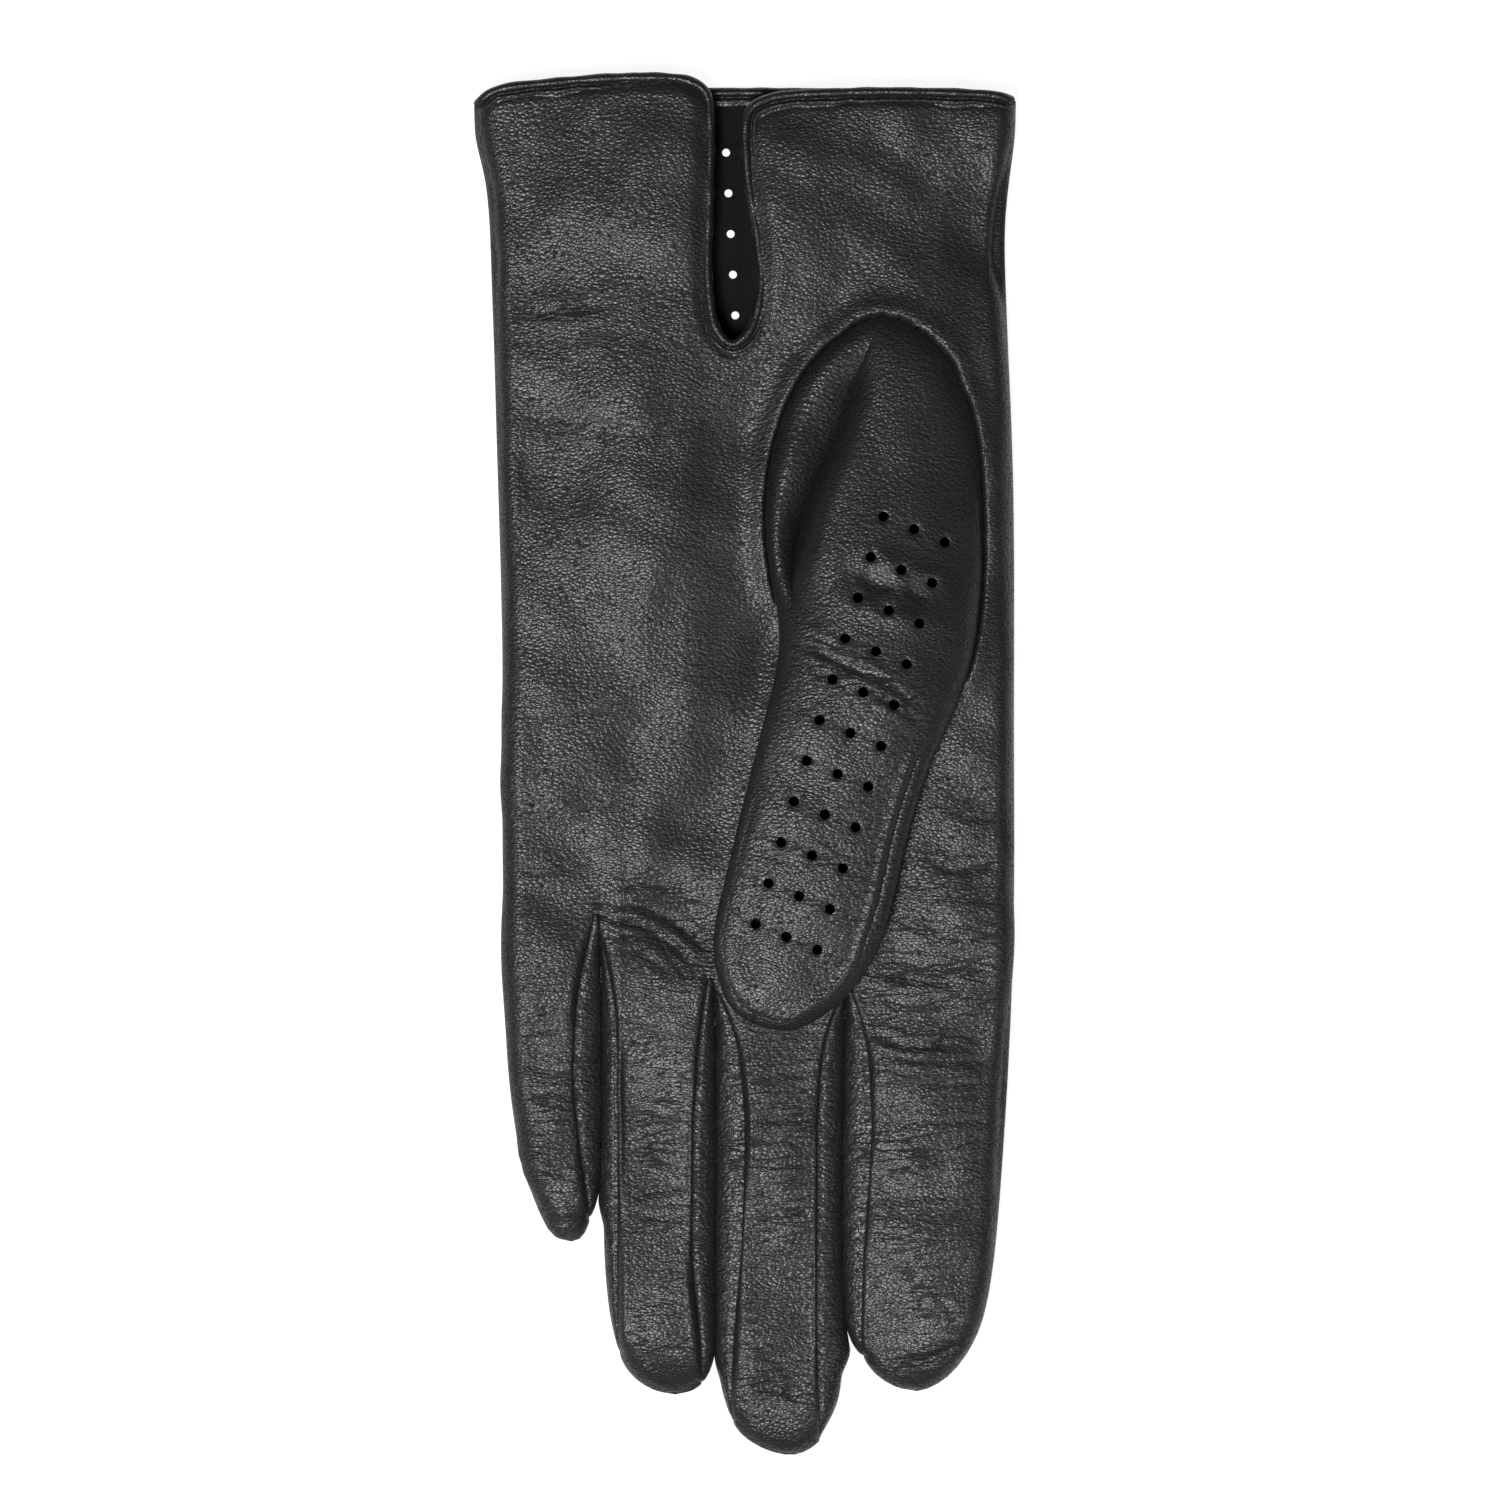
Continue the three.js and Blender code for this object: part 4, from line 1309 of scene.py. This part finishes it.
def build_thumb_front():
    """The panel that lies on the palm, with its edges turned up to the perforated panel's seams."""
    grids = [under_grid(THUMB_SPLIT), edge_band(QUIRK_START, THUMB_TIP_V, -1)[:, ::-1],
             edge_band(STRIP_END, THUMB_TIP_V, 1)]
    points, faces = joined(grids)
    tip = thumb_xy(0.0, THUMB_TIP_V)
    thickness = LEATHER * smoothstep((points[:, :2] - tip) @ THUMB_ALONG / 4)
    piece = make_piece("thumb_front_panel", points, faces, LEATHER_MAIN, thickness)
    blend_thumb(piece)
    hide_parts("thumb_front")


def build_thumb_sides():
    """The quirk on the thumb's left, and the narrow strip along its right."""
    quirk = edge_band(THUMB_WRIST_V, QUIRK_START, -1, 22)[:, ::-1]
    strip = edge_band(STRIP_START, STRIP_END, 1, 14)
    for name, node, band, thickness in (
            ("thumb_quirk_roll", "thumb_quirk", quirk, LEATHER),
            ("thumb_strip", "thumb_side_strip", strip, 0.4)):
        points, faces = joined([band])
        piece = make_piece(name, points, faces, LEATHER_GUSSET, thickness)
        blend_thumb(piece)
        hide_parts(node)


# ---- Cuff bindings and their stitches ----

BINDING_PROFILE = [
    # offset outwards from the edge and height over the sheet's outer face, round the roll and back inside
    (-2.7, 0.02), (-2.6, 0.22), (-2.2, 0.3), (-1.95, 0.48), (-1.65, 0.58), (-1.35, 0.48), (-1.15, 0.12),
    (-1.0, 0.05), (-0.85, 0.35), (-0.55, 0.72), (-0.1, 0.86), (0.35, 0.72), (0.68, 0.3), (0.8, -0.3),
    (0.68, -0.9), (0.35, -1.35), (-0.1, -1.5), (-0.55, -1.38), (-0.85, -1.0), (-1.0, -0.75), (-1.35, -0.95),
    (-1.65, -1.05), (-2.2, -0.9), (-2.6, -0.8), (-2.7, -0.6),
]


def side_share(x):
    """Share of the hand's height that is left in the rounded fold at its sides."""
    return quarter((high("palm_panel")[0] - np.abs(x)) / FOLD_RADIUS)


def binding_line(route, up):
    """The route lifted to the height of the leather's outer face."""
    z = HAND_MID + up * HAND_MID * side_share(route[:, 0])
    z = z - up * BINDING_SINK * smoothstep((up * (z - HAND_MID)) / 2)
    return np.column_stack([route, z])


def line_frames(line, up):
    """The directions out of the glove's edge and up from its face, at each point of a line."""
    tangent = np.gradient(line, axis=0)
    tangent /= np.linalg.norm(tangent, axis=1, keepdims=True)
    outward = np.stack([-tangent[:, 1], tangent[:, 0], np.zeros(len(line))], 1)
    outward /= np.linalg.norm(outward, axis=1, keepdims=True)
    raised = np.cross(tangent, outward)
    raised *= np.sign(raised[:, 2:]) * up
    return outward, raised


def build_binding(name, node, route, up, seed):
    """A rolled strip of leather, sewn along the cuff's edge. Returns its line and the directions on it."""
    line = binding_line(route[::2], up)
    outward, raised = line_frames(line, up)
    profile = smooth_route(BINDING_PROFILE, 0.16)
    uneven = Ripple(seed, 5.0)
    along = np.arange(len(line)) * 0.5
    swell = 1 + 0.05 * uneven(along, 0 * along)
    profile = profile[None] * swell[:, None, None]
    grid = line[:, None] + outward[:, None] * profile[..., :1] + raised[:, None] * profile[..., 1:]
    points, faces = joined([np.concatenate([grid, grid[:, :1]], 1)])
    flat = np.zeros(len(points))
    piece = make_piece(name, points, faces, LEATHER_BINDING, thickness=0, flip=up > 0, wear=flat)
    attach(piece, "hand")
    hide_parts(node)
    return line, outward, raised


def stitch_points(length, radius):
    """A plump stitch along x: rings of points that close at both ends."""
    rings, sides = 7, 8
    t = np.linspace(0, math.pi, rings)[:, None]
    turn = np.linspace(0, 2 * math.pi, sides + 1)[None, :]
    thick = radius * np.sin(t) ** 0.6
    return np.stack([-length / 2 * np.cos(t) + 0 * turn, thick * np.cos(turn), thick * np.sin(turn)], -1)


def build_stitches(name, line, outward, raised, seed, faces_up=(1,)):
    """A row of short stitches beside the binding, each a little different from the last."""
    rng = np.random.default_rng(seed)
    length = np.concatenate([[0], np.cumsum(np.linalg.norm(np.diff(line, axis=0), axis=1))])
    grids = []
    for station in np.arange(1.5, length[-1] - 1.5, STITCH_PITCH):
        k = int(np.searchsorted(length, station))
        along = line[min(k + 1, len(line) - 1)] - line[k - 1]
        along /= np.linalg.norm(along)
        for face in faces_up:
            centre = line[k] + outward[k] * STITCH_ROW + raised[k] * STITCH_HEIGHT[face]
            shape = stitch_points(rng.uniform(1.3, 1.5), STITCH_RADIUS)
            lean = rng.normal(0.06, 0.04)
            across = outward[k] * math.cos(lean) + along * math.sin(lean)
            forward = along * math.cos(lean) - outward[k] * math.sin(lean)
            sides = shape[..., 1:2] * across + shape[..., 2:] * raised[k]
            grids.append(centre + shape[..., :1] * forward + sides)
    points, faces = joined(grids, 0.001)
    piece = make_piece(name, points, faces, THREAD, thickness=0, wear=np.zeros(len(points)))
    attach(piece, "hand")


# ---- Put everything together ----

build_palm()
build_back()
for finger in FINGERS:
    build_finger_strips(finger)
for web in WEB.values():
    build_web(web)
    build_gusset(web.left, 1)
    build_gusset(web.right, -1)
build_thumb_panel()
build_thumb_front()
build_thumb_sides()
palm_binding = build_binding("palm_cuff_binding", "cuff_binding_palm", CUFF_ROUTE, 1, 61)
build_stitches("palm_cuff_stitches", *palm_binding, 71)
back_binding = build_binding("back_cuff_binding", "cuff_binding_back", BACK_ROUTE, -1, 62)
build_stitches("back_cuff_stitches", *back_binding, 72, (1, -1))


# ---- Floor, light and camera ----

def plain_material(name, colour, roughness, glow):
    material = bpy.data.materials.new(name)
    material.use_nodes = True
    shader = material.node_tree.nodes["Principled BSDF"]
    shader.inputs["Base Color"].default_value = (*colour, 1)
    shader.inputs["Roughness"].default_value = roughness
    shader.inputs["Emission Color"].default_value = (1, 1, 1, 1)
    shader.inputs["Emission Strength"].default_value = glow
    return material


FLOOR_REACH = 1.2  # in metres, as are the places and sizes of the lights


def build_floor():
    mesh = bpy.data.meshes.new("floor")
    corners = [(x * FLOOR_REACH, y * FLOOR_REACH, 0) for x, y in ((-1, -1), (1, -1), (1, 1), (-1, 1))]
    mesh.from_pydata(corners, [], [(0, 1, 2, 3)])
    mesh.materials.append(plain_material("pale_floor", (0.25, 0.25, 0.25), 0.9, 0.92))
    floor = add_object("floor", mesh)


def area_light(name, place, size, watts):
    """A rectangular light that looks at the middle of the glove."""
    data = bpy.data.lights.new(name, "AREA")
    data.shape = "RECTANGLE"
    data.size, data.size_y = size
    data.energy = watts
    light = add_object(name, data)
    light.location = place
    light.rotation_euler = (-Vector(place)).to_track_quat("-Z", "Y").to_euler()


def build_world():
    world = bpy.data.worlds.new("studio")
    world.use_nodes = True
    world.node_tree.nodes["Background"].inputs["Color"].default_value = (1, 1, 1, 1)
    world.node_tree.nodes["Background"].inputs["Strength"].default_value = 0.03
    bpy.context.scene.world = world


FRAME_WIDTH = 270.0  # what the camera sees, at the height of the floor
CAMERA_HEIGHT = 1600.0
CAMERA_PLACE = (0.9, 2.5)


def build_camera():
    data = bpy.data.cameras.new("camera")
    data.sensor_width = 36.0
    data.lens = 36.0 * CAMERA_HEIGHT / FRAME_WIDTH
    data.clip_end = 10.0
    camera = add_object("camera", data)
    camera.location = [value * MM for value in (*CAMERA_PLACE, CAMERA_HEIGHT)]
    bpy.context.scene.camera = camera


build_floor()
build_world()
area_light("key", (-0.18, -0.24, 0.95), (0.28, 0.28), 9.6)
for name, place in (("left_softbox", (-0.7, -0.25, 0.75)), ("right_softbox", (0.6, -0.45, 0.8))):
    area_light(name, place, (0.3, 0.4), 1.8)
build_camera()
bpy.context.scene.view_settings.view_transform = "Standard"
